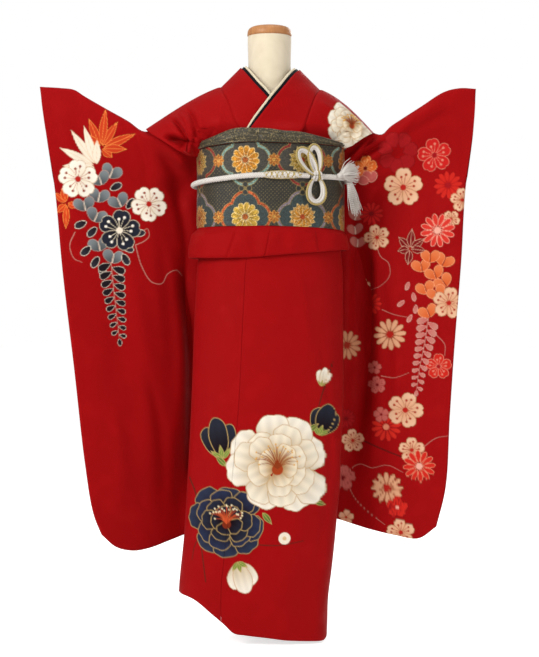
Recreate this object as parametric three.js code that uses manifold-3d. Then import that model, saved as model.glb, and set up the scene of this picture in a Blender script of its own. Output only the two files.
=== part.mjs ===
// Furisode kimono, dressed on a limbless form: red silk body, skirt wrapped left over right, long
// swinging sleeves held out to the sides, brocade obi with its scarf and braided cord.
// Millimetres. +X is the wearer's left, -Y the front, +Z up. The origin is on the base's underside,
// below the middle of the neck.
import * as THREE from "three";
import { mergeVertices } from "three/addons/utils/BufferGeometryUtils.js";
import Module from "manifold-3d";

const wasm = await Module();
wasm.setup();

// ---------------------------------------------------------------- driving dimensions
const CLOTH = 2; // silk and its lining
const SEAM = 0.3; // gap between neighbouring pieces
const DEG = Math.PI / 180;

// The padded waist of the form: every layer from the body cloth to the cord lies parallel to it.
const WAIST = { centreX: 2.5, halfWidth: 167, halfDepth: 102, power: 2.2 };
const WAIST_TOP = 1100;
// The bearings, in degrees from the front, at which every layer at the waist has its corners.
const QUARTER = [0, 15, 29, 41, 51, 60, 68, 75, 81, 86];
const BEARINGS = [-90, 0, 90, 180].flatMap((start, i) =>
  i % 2 ? QUARTER.map((b) => start + b) : [0, ...QUARTER.slice(1).map((b) => 90 - b).reverse()].map((b) => start + b),
);

// How far each layer's outer face stands off the form at the waist.
const STACK = {
  body: 2,
  skirtUnder: SEAM + CLOTH,
  skirtOver: 2 * (SEAM + CLOTH),
  ohashori: 2 * (SEAM + CLOTH) + 2.8,
  obi: 2 * (SEAM + CLOTH) + 2.8 + 3.3,
};
const OBI_WALL = 3;
const CORD_RADIUS = 6;

const FORM = {
  neckRadius: 52,
  neckTop: 1440,
  capTop: 1464,
  poleRadius: 14,
  poleCentre: [20, 30],
  baseCentre: [36, 46],
  baseHalf: [82, 60],
  baseHeight: 12,
};

// The form from the hips to the neck.
const FORM_SECTIONS = [
  { z: 640, halfWidth: 118, halfDepth: 72 },
  { z: 672, halfWidth: 152, halfDepth: 92 },
  { z: 760, halfWidth: 167, halfDepth: 102 },
  { z: 1070, halfWidth: 167, halfDepth: 102 },
  { z: 1105, halfWidth: 163, halfDepth: 97 },
  { z: 1205, halfWidth: 148, halfDepth: 83 },
  { z: 1252, halfWidth: 126, halfDepth: 72 },
  { z: 1288, halfWidth: 90, halfDepth: 62 },
  { z: 1325, halfWidth: 56, halfDepth: 54 },
  { z: 1439.7, halfWidth: 52, halfDepth: 52 },
];

// The skirt's outer face: where its left, right, front and back lie at each height.
const SKIRT_SECTIONS = [
  { z: -20, left: -217, right: 138, front: -112, back: 84, power: 2.9 },
  { z: 60, left: -216, right: 141, front: -112, back: 90, power: 2.8 },
  { z: 135, left: -214, right: 146, front: -112, back: 95, power: 2.8 },
  { z: 241, left: -204, right: 155, front: -112, back: 100, power: 2.7 },
  { z: 380, left: -196, right: 167, front: -113, back: 105, power: 2.6 },
  { z: 567, left: -187, right: 177, front: -113, back: 108, power: 2.4 },
  { z: 740, left: -181, right: 179, front: -112, back: 109, power: 2.3 },
  { z: 860, left: -175, right: 178.5, front: -110, back: 108.5, power: 2.2 },
];
const SKIRT_SNUG = 930; // above this height the skirt lies on the waist
const SKIRT_TOP = 1005;

// The hem rises towards the free edge of the wrap and falls to the floor at the right.
const HEM = [
  { at: -94, z: 125 },
  { at: -75, z: 115 },
  { at: -60, z: 103 },
  { at: -45, z: 70 },
  { at: -35, z: 49 },
  { at: -25, z: 29 },
  { at: -12, z: 24 },
  { at: 20, z: 17 },
  { at: 40, z: 11 },
  { at: 60, z: 7 },
  { at: 70, z: 6 },
  { at: 82, z: 13 },
  { at: 95, z: 20 },
  { at: 120, z: 25 },
  { at: 180, z: 38 },
  { at: 215, z: 60 },
  { at: 240, z: 82 },
  { at: 270, z: 108 },
];
// Where the overlap panel is sewn to the front panel.
const OKUMI_SEAM = [
  { z: 0, at: -37.5 },
  { z: 180, at: -38 },
  { z: 572, at: -32 },
  { z: 905, at: -29 },
];
const SKIRT_EDGE = { free: -90, underSeam: -99, sideLeft: 94, centreBack: 180, underEdge: 51, underOkumi: 15 };
const UNDER_DROP = 3; // how much deeper the hidden layer lies below the hips

// Soft folds of the skirt: a ridge when high is positive, a trough when negative.
const SKIRT_FOLDS = [
  { top: 74, bottom: 66, spread: 9, high: 5, from: 640, to: 40 },
  { top: 60, bottom: 50, spread: 10, high: -3, from: 560, to: 60 },
  { top: -70, bottom: -76, spread: 8, high: 3.5, from: 700, to: 120 },
  { top: 122, bottom: 128, spread: 12, high: -8, from: 760, to: 0 },
  { top: 146, bottom: 152, spread: 11, high: 7, from: 820, to: 0 },
  { top: 205, bottom: 212, spread: 13, high: -7, from: 780, to: 20 },
  { top: 236, bottom: 240, spread: 10, high: 6, from: 700, to: 30 },
];

// The fold of spare length that shows under the obi: how far it stands out, and where it ends.
const OHASHORI = [
  { at: -90, out: 33, z: 908 },
  { at: -60, out: 26, z: 905 },
  { at: -30, out: 19, z: 905 },
  { at: 10, out: 17, z: 911 },
  { at: 45, out: 17.5, z: 917 },
  { at: 90, out: 20, z: 927 },
  { at: 180, out: 16, z: 916 },
  { at: 230, out: 20, z: 910 },
  { at: 270, out: 33, z: 908 },
];
const OHASHORI_TOP = 1035;

const OBI_EDGES = [
  { at: -90, low: 980, high: 1162 },
  { at: -35, low: 980, high: 1175 },
  { at: 0, low: 980, high: 1174 },
  { at: 50, low: 977, high: 1172 },
  { at: 90, low: 973, high: 1170 },
  { at: 180, low: 976, high: 1168 },
  { at: 270, low: 980, high: 1162 },
];
// The scarf that fills the obi's upper edge, full in front and thin at the back.
const OBIAGE = [
  { at: -90, height: 10, out: 15 },
  { at: -70, height: 18, out: 17 },
  { at: -40, height: 33, out: 19 },
  { at: 0, height: 31, out: 19 },
  { at: 30, height: 27, out: 19 },
  { at: 52, height: 20, out: 18 },
  { at: 72, height: 11, out: 16 },
  { at: 90, height: 9, out: 15 },
  { at: 130, height: 12, out: 14 },
  { at: 180, height: 16, out: 13 },
  { at: 230, height: 12, out: 14 },
  { at: 270, height: 10, out: 15 },
];
const OBIAGE_INNER = 9.6;

// The braided cord round the obi, and the woven ornament in its front.
const CORD_RUN = [
  { at: 52, z: 1096 },
  { at: 90, z: 1096 },
  { at: 180, z: 1090 },
  { at: 270, z: 1083 },
  { at: 300, z: 1089 },
  { at: 330, z: 1096 },
  { at: 360, z: 1098 },
  { at: 404, z: 1097 },
];
const ORNAMENT = { from: 350.5, to: 396, high: 21, deep: 11, z: 1098 };
const KNOT = { at: 49.5, z: 1097, half: [15, 11, 14] };
const LOOP_RADIUS = 5.5;
// Each loop of the bow: where it points from the knot, as a clock angle, and its size.
const LOOPS = [
  { points: 118, length: 62, width: 27 },
  { points: 78, length: 60, width: 25 },
  { points: -84, length: 58, width: 36 },
];
const TASSELS = [
  { name: "tassel_upper", at: 66, z: 1097, turn: 24, length: 44, strands: 20, spread: 17 },
  { name: "tassel_lower", at: 76, z: 1098, turn: -66, length: 64, strands: 22, spread: 12 },
];

const DRUM = { halfWidth: 150, near: 126, deep: 84, low: 934, high: 1206, wall: 5, corner: 34 };
const DRUM_TAIL = { low: 868, wall: 4, top: 1074 };
const DRUM_HAND = { low: 1012, high: 1092, reach: 16, wall: 6 };

// Collar: the folded inner edge and the seam edge, from the overlapping end on the wearer's right, round the
// neck, to the end that lies underneath.
const COLLAR = [
  { inner: [-96, -93.5, 1146], outer: [53.5, -105.5, 1146] },
  { inner: [-46.7, -104, 1207], outer: [80.5, -99.5, 1209] },
  { inner: [0, -99, 1267], outer: [94, -86, 1247] },
  { inner: [33, -86, 1308.5], outer: [106, -66, 1280.5] },
  { inner: [58, -52, 1342.5], outer: [115, -40, 1300.5] },
  { inner: [73, -8, 1359], outer: [121, -5, 1311] },
  { inner: [62, 48, 1348], outer: [98, 56, 1300] },
  { inner: [0, 84, 1332], outer: [0, 96, 1272] },
  { inner: [-62, 48, 1350], outer: [-97, 56, 1303] },
  { inner: [-69.5, -8, 1364], outer: [-116, -5, 1317.5] },
  { inner: [-55.5, -52, 1345], outer: [-113, -40, 1304] },
  { inner: [-35, -80, 1317.5], outer: [-101.5, -66, 1280.5] },
  { inner: [-7, -87, 1286.5], outer: [-89, -82, 1247] },
  { inner: [30, -91.5, 1236], outer: [-71.5, -94.5, 1206.5] },
  { inner: [50, -98.5, 1168], outer: [-49, -100.5, 1147] },
];
const COLLAR_WALL = 2.5;
const TRIM_WALL = 1;
// The decorative collar lies inside: a black strip, then a cream one, each showing past the collar's edge.
const TRIMS = [
  { name: "date_eri_black", from: -7, to: 8, depth: COLLAR_WALL + 1.2, finish: "silkBlack" },
  { name: "date_eri_cream", from: -12.5, to: 3, depth: COLLAR_WALL + TRIM_WALL + 2.2, finish: "silkCream" },
];

// Each half of the body goes from the front waist over the shoulder to the back waist. Its inner edge follows the
// collar's seam and then the centre back; arm is its edge at the armhole, swell how far its middle stands out.
const BODY_LEFT = {
  name: "body_left",
  side: 1,
  rows: [
    { arm: [168, -5, WAIST_TOP], swell: 20 },
    { arm: [168, -22, 1148], swell: 20 },
    { arm: [184, -40, 1180], swell: 14 },
    { arm: [212, -46, 1190], swell: 12 },
    { arm: [238, -40, 1197], swell: 11 },
    { arm: [256, -20, 1204], swell: 11 },
    { arm: [264, 12, 1208], swell: 11 },
    { arm: [256, 50, 1202], swell: 12 },
    { arm: [228, 72, 1190], swell: 12 },
    { arm: [184, 64, 1168], swell: 14 },
    { arm: [168, 5, WAIST_TOP], swell: 22 },
  ],
};
const BODY_RIGHT = {
  name: "body_right",
  side: -1,
  rows: [
    { arm: [-163, -5, WAIST_TOP], swell: 20 },
    { arm: [-163, -22, 1148], swell: 20 },
    { arm: [-181, -40, 1174], swell: 14 },
    { arm: [-214, -46, 1190], swell: 12 },
    { arm: [-250, -40, 1203], swell: 9 },
    { arm: [-283, -20, 1214], swell: 8 },
    { arm: [-298, 12, 1219.5], swell: 8 },
    { arm: [-286, 50, 1211], swell: 10 },
    { arm: [-250, 72, 1194], swell: 12 },
    { arm: [-190, 64, 1168], swell: 14 },
    { arm: [-163, 5, WAIST_TOP], swell: 22 },
  ],
};

// Sleeves: the outline of each, in the plane between its two layers. top and bottom run from the body outwards,
// inner and outer from the shoulder down. half is half the space between the layers.
const SLEEVE_RIGHT = {
  name: "sleeve_right",
  top: [
    [-204, 20, 1218],
    [-240, 17, 1224],
    [-272, 14, 1219],
    [-303, 12, 1214.5],
    [-340, 11, 1239],
    [-392, 9, 1268],
    [-444, 8, 1298],
    [-470, 8, 1314],
    [-500, 7, 1318],
    [-552, 6, 1321],
  ],
  inner: [
    { point: [-204, 20, 1218], half: 20 },
    { point: [-187, 26, 1176], half: 16 },
    { point: [-177, 40, 1155], half: 13 },
    { point: [-171, 64, 1125], half: 13 },
    { point: [-168, 94, 1085], half: 14 },
    { point: [-168, 102, 980], half: 18 },
    { point: [-168, 114, 800], half: 18 },
    { point: [-166, 120, 560], half: 16 },
    { point: [-164, 122, 250], half: 12 },
  ],
  outer: [
    { point: [-552, 6, 1321], half: 6 },
    { point: [-540, 4, 1230], half: 8 },
    { point: [-516, 4, 1076], half: 7 },
    { point: [-497, 6, 874], half: 5 },
    { point: [-470, 8, 644], half: 5 },
    { point: [-444, 10, 414], half: 5 },
    { point: [-425, 12, 298], half: 5 },
    { point: [-404, 13, 243], half: 5 },
  ],
  bottom: [
    [-164, 122, 250],
    [-214, 98, 232],
    [-252, 80, 218.5],
    [-290, 62, 206],
    [-329, 44, 201],
    [-370, 26, 212],
    [-404, 13, 243],
  ],
  cuff: { from: 0.018, to: 0.215 },
};
const SLEEVE_LEFT = {
  name: "sleeve_left",
  top: [
    [200, 20, 1221],
    [221, 17, 1217],
    [244, 14, 1213],
    [270, 12, 1207],
    [291, 12, 1226],
    [324, 11, 1248],
    [363, 10, 1273],
    [420, 9, 1309],
    [458, 8, 1318],
    [496, 6, 1316],
  ],
  inner: [
    { point: [200, 20, 1221], half: 20 },
    { point: [191, 26, 1176], half: 16 },
    { point: [182, 40, 1155], half: 13 },
    { point: [178, 66, 1125], half: 12 },
    { point: [174, 95, 1085], half: 13 },
    { point: [169, 102, 980], half: 18 },
    { point: [158, 116, 800], half: 18 },
    { point: [146, 122, 560], half: 16 },
    { point: [132, 124, 277], half: 12 },
  ],
  outer: [
    { point: [496, 6, 1316], half: 6 },
    { point: [490, 4, 1220], half: 8 },
    { point: [471, 4, 1076], half: 7 },
    { point: [461, 6, 903], half: 5 },
    { point: [446, 8, 711], half: 5 },
    { point: [434, 10, 529], half: 5 },
    { point: [424, 12, 356], half: 5 },
    { point: [402, 14, 263], half: 5 },
  ],
  bottom: [
    [132, 124, 277],
    [170, 108, 270],
    [209, 92, 259],
    [247, 76, 249],
    [305, 50, 238],
    [360, 27, 233],
    [402, 14, 263],
  ],
  cuff: { from: 0.018, to: 0.215 },
};
// Long soft folds of a sleeve's front layer: across is 0 at the body and 1 at the outer edge, down is 0 at the top.
const SLEEVE_FOLDS = [
  { across: 0.1, lean: 0.05, spread: 0.09, high: -9, from: 0.02, to: 1 },
  { across: 0.24, lean: -0.03, spread: 0.08, high: 6, from: 0.05, to: 1 },
  { across: 0.38, lean: -0.14, spread: 0.08, high: -4, from: 0.05, to: 0.7 },
  { across: 0.62, lean: -0.1, spread: 0.1, high: 3, from: 0.15, to: 1 },
];
const SLEEVE_STATIONS = 11;
const SLEEVE_LOOP = 28;

const FINISHES = {
  silkRed: { color: 0xb01418, roughness: 0.5, metalness: 0 },
  silkBlack: { color: 0x15131a, roughness: 0.5, metalness: 0 },
  silkCream: { color: 0xf2e6d0, roughness: 0.5, metalness: 0 },
  brocade: { color: 0x4f5148, roughness: 0.55, metalness: 0.1 },
  scarf: { color: 0x4a4636, roughness: 0.5, metalness: 0.2 },
  braid: { color: 0xe9e2dc, roughness: 0.7, metalness: 0 },
  formCloth: { color: 0xf3e4c8, roughness: 0.8, metalness: 0 },
  wood: { color: 0xd6935e, roughness: 0.5, metalness: 0 },
  enamel: { color: 0xe4dfd6, roughness: 0.4, metalness: 0.2 },
};

// ---------------------------------------------------------------- small helpers
const vec = (p) => new THREE.Vector3(p[0], p[1], p[2]);
const clamp01 = (t) => Math.min(1, Math.max(0, t));
const within = (t) => Math.min(0.998, Math.max(0.002, t));
const smooth = (t) => clamp01(t) ** 2 * (3 - 2 * clamp01(t));
const steps = (from, to, count) => Array.from({ length: count + 1 }, (_, i) => from + ((to - from) * i) / count);

// The value of one column of a table, smoothly between its rows, which are in order of key.
function between(rows, key, at, column) {
  const last = rows.length - 1;
  if (at <= rows[0][key]) return rows[0][column];
  if (at >= rows[last][key]) return rows[last][column];
  const i = rows.findIndex((row) => row[key] > at) - 1;
  const slope = (k) => {
    const a = rows[Math.max(0, k - 1)];
    const b = rows[Math.min(last, k + 1)];
    return (b[column] - a[column]) / (b[key] - a[key]);
  };
  const [a, b] = [rows[i], rows[i + 1]];
  const h = b[key] - a[key];
  const t = (at - a[key]) / h;
  const rise = b[column] - a[column];
  const [m0, m1] = [slope(i) * h, slope(i + 1) * h];
  return a[column] + t * (m0 + t * (3 * rise - 2 * m0 - m1 + t * (m0 + m1 - 2 * rise)));
}

// A curve through points, read by row number or by share of its length.
const curveThrough = (points) => new THREE.CatmullRomCurve3(points.map(vec), false, "centripetal");

function foldShift(folds, across, down, acrossAt) {
  let shift = 0;
  for (const fold of folds) {
    const along = (down - fold.from) / (fold.to - fold.from);
    if (along <= 0) continue;
    const away = (across - acrossAt(fold, Math.min(1, along))) / fold.spread;
    shift += fold.high * smooth(along * 2.5) * Math.exp(-away * away);
  }
  return shift;
}

// A closed outline in the horizontal plane, as the distance from its centre at a bearing from the front.
function bearing(at, halfWidth, halfDepth, power) {
  const s = Math.abs(Math.sin(at * DEG)) / halfWidth;
  const c = Math.abs(Math.cos(at * DEG)) / halfDepth;
  return (s ** power + c ** power) ** (-1 / power);
}

// ---------------------------------------------------------------- the surfaces
const WAIST_AXIS = (p) => new THREE.Vector3(p.x - WAIST.centreX, p.y, 0);

const waistSurface = (at, z) => {
  const r = bearing(at, WAIST.halfWidth, WAIST.halfDepth, WAIST.power);
  return new THREE.Vector3(WAIST.centreX + r * Math.sin(at * DEG), -r * Math.cos(at * DEG), z);
};

// Where the obi and its scarf close over the cloth, it lies on the waist, off away from the form. It starts to
// come free sooner millimetres below the scarf's upper edge.
function tucked(p, off, sooner) {
  const at = Math.atan2(p.x - WAIST.centreX, -p.y) / DEG;
  const turn = at < -90 ? at + 360 : at;
  const covered = between(OBI_EDGES, "at", turn, "high") + between(OBIAGE, "at", turn, "height");
  const free = smooth((p.z - covered + sooner) / 29);
  return free === 1 ? p : p.lerp(shiftOut(waistSurface, at, p.z, off, WAIST_AXIS), 1 - free);
}

const bodyOff = (z) => STACK.body - 5 * smooth((z - 1120) / 60);

const skirtSurface = (at, z) => {
  const snug = smooth((z - 862) / (SKIRT_SNUG - 862));
  const [left, right, front, back] = ["left", "right", "front", "back"].map((n) => between(SKIRT_SECTIONS, "z", z, n));
  const r = bearing(at, (right - left) / 2, (back - front) / 2, between(SKIRT_SECTIONS, "z", z, "power"));
  const turn = at < -101 ? at + 360 : at;
  const fold = foldShift(SKIRT_FOLDS, turn, z, (f, t) => f.top + (f.bottom - f.top) * t);
  const x = (left + right) / 2 + (r + fold) * Math.sin(at * DEG);
  const y = (front + back) / 2 - (r + fold) * Math.cos(at * DEG);
  const loose = new THREE.Vector3(x, y, z);
  return snug > 0 ? loose.lerp(shiftOut(waistSurface, at, z, STACK.skirtOver, WAIST_AXIS), snug) : loose;
};

const collarInner = curveThrough(COLLAR.map((row) => row.inner));
const collarOuter = curveThrough(COLLAR.map((row) => row.outer));
// along runs from 0 to 1 round the neck; across is millimetres from the folded edge towards the seam.
const collarSurface = (along, across) => {
  const inner = collarInner.getPoint(clamp01(along));
  const outer = collarOuter.getPoint(clamp01(along));
  const p = inner.lerp(outer, across / inner.distanceTo(outer));
  const over = STACK.body + COLLAR_WALL + 4 * SEAM + 3.4 * smooth((p.z - 1176) / 8);
  return tucked(p, along < 0.5 ? over : bodyOff(p.z), 3);
};
const collarWidth = (along) => collarInner.getPoint(along).distanceTo(collarOuter.getPoint(along));

const OVER_END = 0; // the collar's row at the overlapping end, and at the end underneath
const UNDER_END = COLLAR.length - 1;
const CENTRE_BACK = UNDER_END / 2;

// One half of the body: across is 0 at the collar and 1 at the armhole, along is 0 at the front waist and 1 at the
// back. Where the obi and its scarf close over it, it lies on the waist.
function bodySurface({ side, rows }) {
  const arm = curveThrough(rows.map((row) => row.arm));
  const swell = rows.map((row, i) => ({ i: i / (rows.length - 1), swell: row.swell }));
  const seamEnd = side > 0 ? OVER_END : UNDER_END;
  const seamPoint = (row) => {
    const [inner, outer] = [collarInner, collarOuter].map((curve) => curve.getPoint(row / UNDER_END));
    return outer.clone().addScaledVector(outer.clone().sub(inner).normalize(), 2.2 * SEAM);
  };
  const frontFoot = seamPoint(seamEnd).setZ(WAIST_TOP);
  const backFoot = new THREE.Vector3(side * SEAM, WAIST.halfDepth, WAIST_TOP);
  const napePoint = seamPoint(CENTRE_BACK).setX(side * SEAM);
  // The rows of the table lie at the collar's rows from its end to the centre back.
  const share = (along) => {
    const row = along * (rows.length - 1);
    if (row < 1) return frontFoot.clone().lerp(seamPoint(seamEnd), row);
    if (row > 8) return napePoint.clone().lerp(backFoot, (row - 8) / 2);
    const p = seamPoint(seamEnd + side * (row - 1));
    return side * p.x < SEAM ? p.setX(side * SEAM) : p;
  };
  const inside = new THREE.Vector3(0, 0, 1150);
  return (across, alongAny) => {
    const along = clamp01(alongAny);
    const p = share(along).lerp(arm.getPoint(along), across);
    const out = p.clone().sub(inside).normalize();
    p.addScaledVector(out, between(swell, "i", along, "swell") * Math.sin(Math.PI * across ** 0.78));
    return tucked(p, bodyOff(p.z), 0);
  };
}

const bodySurfaces = Object.fromEntries([BODY_LEFT, BODY_RIGHT].map((half) => [half.name, bodySurface(half)]));

// The unit normal of a surface at (u, v), turned to the side that outward gives.
function normalOf(surface, u, v, outward) {
  const e = 1e-3;
  const du = surface(u + e, v).sub(surface(u - e, v));
  const dv = surface(u, v + e).sub(surface(u, v - e));
  const n = du.cross(dv).normalize();
  return n.dot(outward(surface(u, v))) < 0 ? n.negate() : n;
}
function shiftOut(surface, u, v, distance, outward) {
  return surface(u, v).addScaledVector(normalOf(surface, u, v, outward), distance);
}

// ---------------------------------------------------------------- solids
function signedVolume(points, faces) {
  let sum = 0;
  for (const [a, b, c] of faces) sum += points[a].dot(points[b].clone().cross(points[c]));
  return sum / 6;
}

function geometryOf(points, faces) {
  const flip = signedVolume(points, faces) < 0;
  const geometry = new THREE.BufferGeometry();
  geometry.setAttribute("position", new THREE.Float32BufferAttribute(points.flatMap((p) => p.toArray()), 3));
  geometry.setIndex(faces.flatMap(([a, b, c]) => (flip ? [a, c, b] : [a, b, c])));
  return geometry;
}

const quad = (a, b, c, d) => [
  [a, b, c],
  [a, c, d],
];

// A wall between two grids of points of the same size. With wrap, the first column follows the last.
function wallBetween(outer, inner, wrap) {
  const [columns, rows] = [outer.length, outer[0].length];
  const points = [...outer.flat(), ...inner.flat()];
  const out = (i, j) => (i % columns) * rows + j;
  const into = (i, j) => columns * rows + out(i, j);
  const faces = [];
  for (let i = 0; i < columns - (wrap ? 0 : 1); i++) {
    for (let j = 0; j < rows - 1; j++) {
      faces.push(...quad(out(i, j), out(i + 1, j), out(i + 1, j + 1), out(i, j + 1)));
      faces.push(...quad(into(i, j), into(i, j + 1), into(i + 1, j + 1), into(i + 1, j)));
    }
    faces.push(...quad(out(i + 1, 0), out(i, 0), into(i, 0), into(i + 1, 0)));
    faces.push(...quad(out(i, rows - 1), out(i + 1, rows - 1), into(i + 1, rows - 1), into(i, rows - 1)));
  }
  if (!wrap) {
    for (let j = 0; j < rows - 1; j++) {
      const k = columns - 1;
      faces.push(...quad(out(0, j), out(0, j + 1), into(0, j + 1), into(0, j)));
      faces.push(...quad(out(k, j + 1), out(k, j), into(k, j), into(k, j + 1)));
    }
  }
  return geometryOf(points, faces);
}

// Cloth on a surface: lift is how far its outer face stands off, wall its thickness.
function cloth(surface, grid, { outward, lift = 0, wall = CLOTH, wrap = false }) {
  const at = (value, u, v) => (typeof value === "function" ? value(u, v) : value);
  const layer = (inset) =>
    grid.map((column) =>
      column.map(([u, v]) => shiftOut(surface, u, v, at(lift, u, v) - inset * at(wall, u, v), outward)),
    );
  return wallBetween(layer(0), layer(1), wrap);
}
const gridOf = (us, vs) => us.map((u) => vs.map((v) => [u, v]));

// A solid from closed rings, stacked and capped at both ends.
function lofted(rings) {
  const n = rings[0].length;
  const points = rings.flat();
  const faces = [];
  for (let i = 0; i < rings.length - 1; i++) {
    for (let j = 0; j < n; j++) {
      const k = (j + 1) % n;
      faces.push(...quad(i * n + j, i * n + k, (i + 1) * n + k, (i + 1) * n + j));
    }
  }
  const last = (rings.length - 1) * n;
  for (let j = 1; j < n - 1; j++) {
    faces.push([0, j + 1, j]);
    faces.push([last, last + j, last + j + 1]);
  }
  return geometryOf(points, faces);
}

// A closed band round the waist whose cross-section is a closed outline of [stand-off, height].
function hoop(bearings, outline) {
  const columns = bearings.map((at) =>
    outline(at).map(([off, z]) => shiftOut(waistSurface, at, z, off, WAIST_AXIS)),
  );
  const n = columns[0].length;
  const faces = [];
  columns.forEach((_, i) => {
    const next = (i + 1) % columns.length;
    for (let j = 0; j < n; j++) {
      const k = (j + 1) % n;
      faces.push(...quad(i * n + j, next * n + j, next * n + k, i * n + k));
    }
  });
  return geometryOf(columns.flat(), faces);
}

function tube(path, radius, steps, sides) {
  const shape = new THREE.Shape().absarc(0, 0, radius, 0, 2 * Math.PI);
  return new THREE.ExtrudeGeometry(shape, { steps, extrudePath: path, bevelEnabled: false, curveSegments: sides / 2 });
}

function toSolid(geometry) {
  const bare = new THREE.BufferGeometry().setAttribute("position", geometry.getAttribute("position"));
  if (geometry.index) bare.setIndex(geometry.index);
  const merged = mergeVertices(bare, 1e-3);
  // Triangles that the merge has shrunk to a line are left out.
  const corners = Array.from({ length: merged.index.count / 3 }, (_, i) => [0, 1, 2].map((k) => merged.index.getX(3 * i + k)));
  const triVerts = new Uint32Array(corners.filter((triangle) => new Set(triangle).size === 3).flat());
  const vertProperties = new Float32Array(merged.attributes.position.array);
  return new wasm.Manifold(new wasm.Mesh({ numProp: 3, vertProperties, triVerts }));
}
function fromSolid(solid) {
  const mesh = solid.getMesh();
  const geometry = new THREE.BufferGeometry();
  geometry.setAttribute("position", new THREE.Float32BufferAttribute(mesh.vertProperties, 3));
  return geometry.setIndex(new THREE.BufferAttribute(mesh.triVerts, 1));
}

const kimono = new THREE.Group();
const materials = Object.fromEntries(
  Object.entries(FINISHES).map(([name, finish]) => [name, new THREE.MeshStandardMaterial(finish)]),
);
function addPiece(name, geometry, finish) {
  const mesh = new THREE.Mesh(geometry, materials[finish]);
  mesh.name = name;
  kimono.add(mesh);
  return mesh;
}

// ---------------------------------------------------------------- the dress form
function makeForm() {
  const ring = ({ z, halfWidth, halfDepth }) => {
    const neck = clamp01((z - 1250) / 95);
    return BEARINGS.map((at) => {
      const r = bearing(at, halfWidth, halfDepth, WAIST.power + (2 - WAIST.power) * neck);
      const x = WAIST.centreX * (1 - neck) + r * Math.sin(at * DEG);
      return new THREE.Vector3(x, -r * Math.cos(at * DEG), z);
    });
  };
  addPiece("form_torso", lofted(FORM_SECTIONS.map(ring)), "formCloth");

  const capHeight = FORM.capTop - FORM.neckTop;
  const capRadius = FORM.neckRadius + 1;
  const capOutline = new THREE.Path();
  capOutline.moveTo(0, 0).lineTo(capRadius - 2, 0).lineTo(capRadius, 2).lineTo(capRadius, capHeight * 0.45);
  capOutline.quadraticCurveTo(capRadius * 0.96, capHeight, capRadius * 0.4, capHeight).lineTo(0, capHeight);
  const cap = new THREE.LatheGeometry(capOutline.getPoints(4), 20);
  cap.rotateX(Math.PI / 2);
  addPiece("form_cap", cap, "wood").position.z = FORM.neckTop;

  const poleLow = FORM.baseHeight + SEAM;
  const poleHigh = FORM_SECTIONS[0].z - SEAM;
  const pole = new THREE.CylinderGeometry(FORM.poleRadius, FORM.poleRadius, poleHigh - poleLow, 16);
  pole.rotateX(Math.PI / 2);
  addPiece("form_pole", pole, "enamel").position.set(...FORM.poleCentre, (poleLow + poleHigh) / 2);

  const disc = [
    [0, 0],
    [1, 0],
    [1, FORM.baseHeight - 4],
    [0.93, FORM.baseHeight],
    [0, FORM.baseHeight],
  ].map(([r, z]) => new THREE.Vector2(r, z));
  const base = new THREE.LatheGeometry(disc, 28);
  base.rotateX(Math.PI / 2);
  base.scale(...FORM.baseHalf, 1);
  addPiece("form_base", base, "enamel").position.set(...FORM.baseCentre, 0);
}

// ---------------------------------------------------------------- the skirt
const SKIRT_AXIS = (p) => new THREE.Vector3(p.x + 15, p.y, 0);
const OVER_TO_UNDER = -(CLOTH + SEAM);

const SKIRT_HEIGHTS = [SKIRT_TOP, SKIRT_SNUG, 862, 740, 610, 480, 350, 235, 160];

// Bearings and heights of a skirt panel between two edges. drift moves the columns of one edge with the seam.
function skirtGrid(from, to, { hemRise = 0, drift = () => 0 } = {}) {
  const turns = [...BEARINGS.map((b) => b - 360), ...BEARINGS, ...BEARINGS.map((b) => b + 360)];
  const inner = turns.filter((b) => b > from + 1 && b < to - 1);
  return [from, ...inner, to].map((at) => {
    const bearingAt = (z) => at + drift((at - from) / (to - from), z);
    const low = bearingAt(60);
    const hem = between(HEM, "at", low < -101 ? low + 360 : low, "z") + hemRise;
    const last = SKIRT_HEIGHTS.at(-1);
    return [...SKIRT_HEIGHTS, ...steps(last, hem, 2).slice(1)].map((z) => [bearingAt(z), z]);
  });
}

function makeSkirt() {
  const half = 0.09; // degrees, half a seam gap at this radius
  const seam = OKUMI_SEAM.at(-1).at;
  const moved = (z) => between(OKUMI_SEAM, "z", z, "at") - seam;
  const edge = SKIRT_EDGE;
  const tuck = (at) => OVER_TO_UNDER * smooth((at - 62) / 28);
  const deeper = (at, z) => OVER_TO_UNDER - UNDER_DROP * smooth((900 - z) / 90);
  const panel = (name, grid, lift) =>
    addPiece(name, cloth(skirtSurface, grid, { outward: SKIRT_AXIS, lift }), "silkRed");
  const okumi = skirtGrid(edge.free, seam - half, { drift: (share, z) => share * moved(z) });
  const front = skirtGrid(seam + half, edge.sideLeft - half, { drift: (share, z) => (1 - share) ** 3 * moved(z) });
  panel("skirt_over_okumi", okumi, 0);
  panel("skirt_over_front", front, tuck);
  panel("skirt_back_left", skirtGrid(edge.sideLeft + half, edge.centreBack - half), OVER_TO_UNDER);
  panel("skirt_back_right", skirtGrid(edge.centreBack + half, 360 + edge.underSeam - half), OVER_TO_UNDER);
  const hidden = { hemRise: 10 };
  panel("skirt_under_front", skirtGrid(edge.underSeam + half, edge.underOkumi - half, hidden), deeper);
  panel("skirt_under_okumi", skirtGrid(edge.underOkumi + half, edge.underEdge, hidden), deeper);
}

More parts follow.
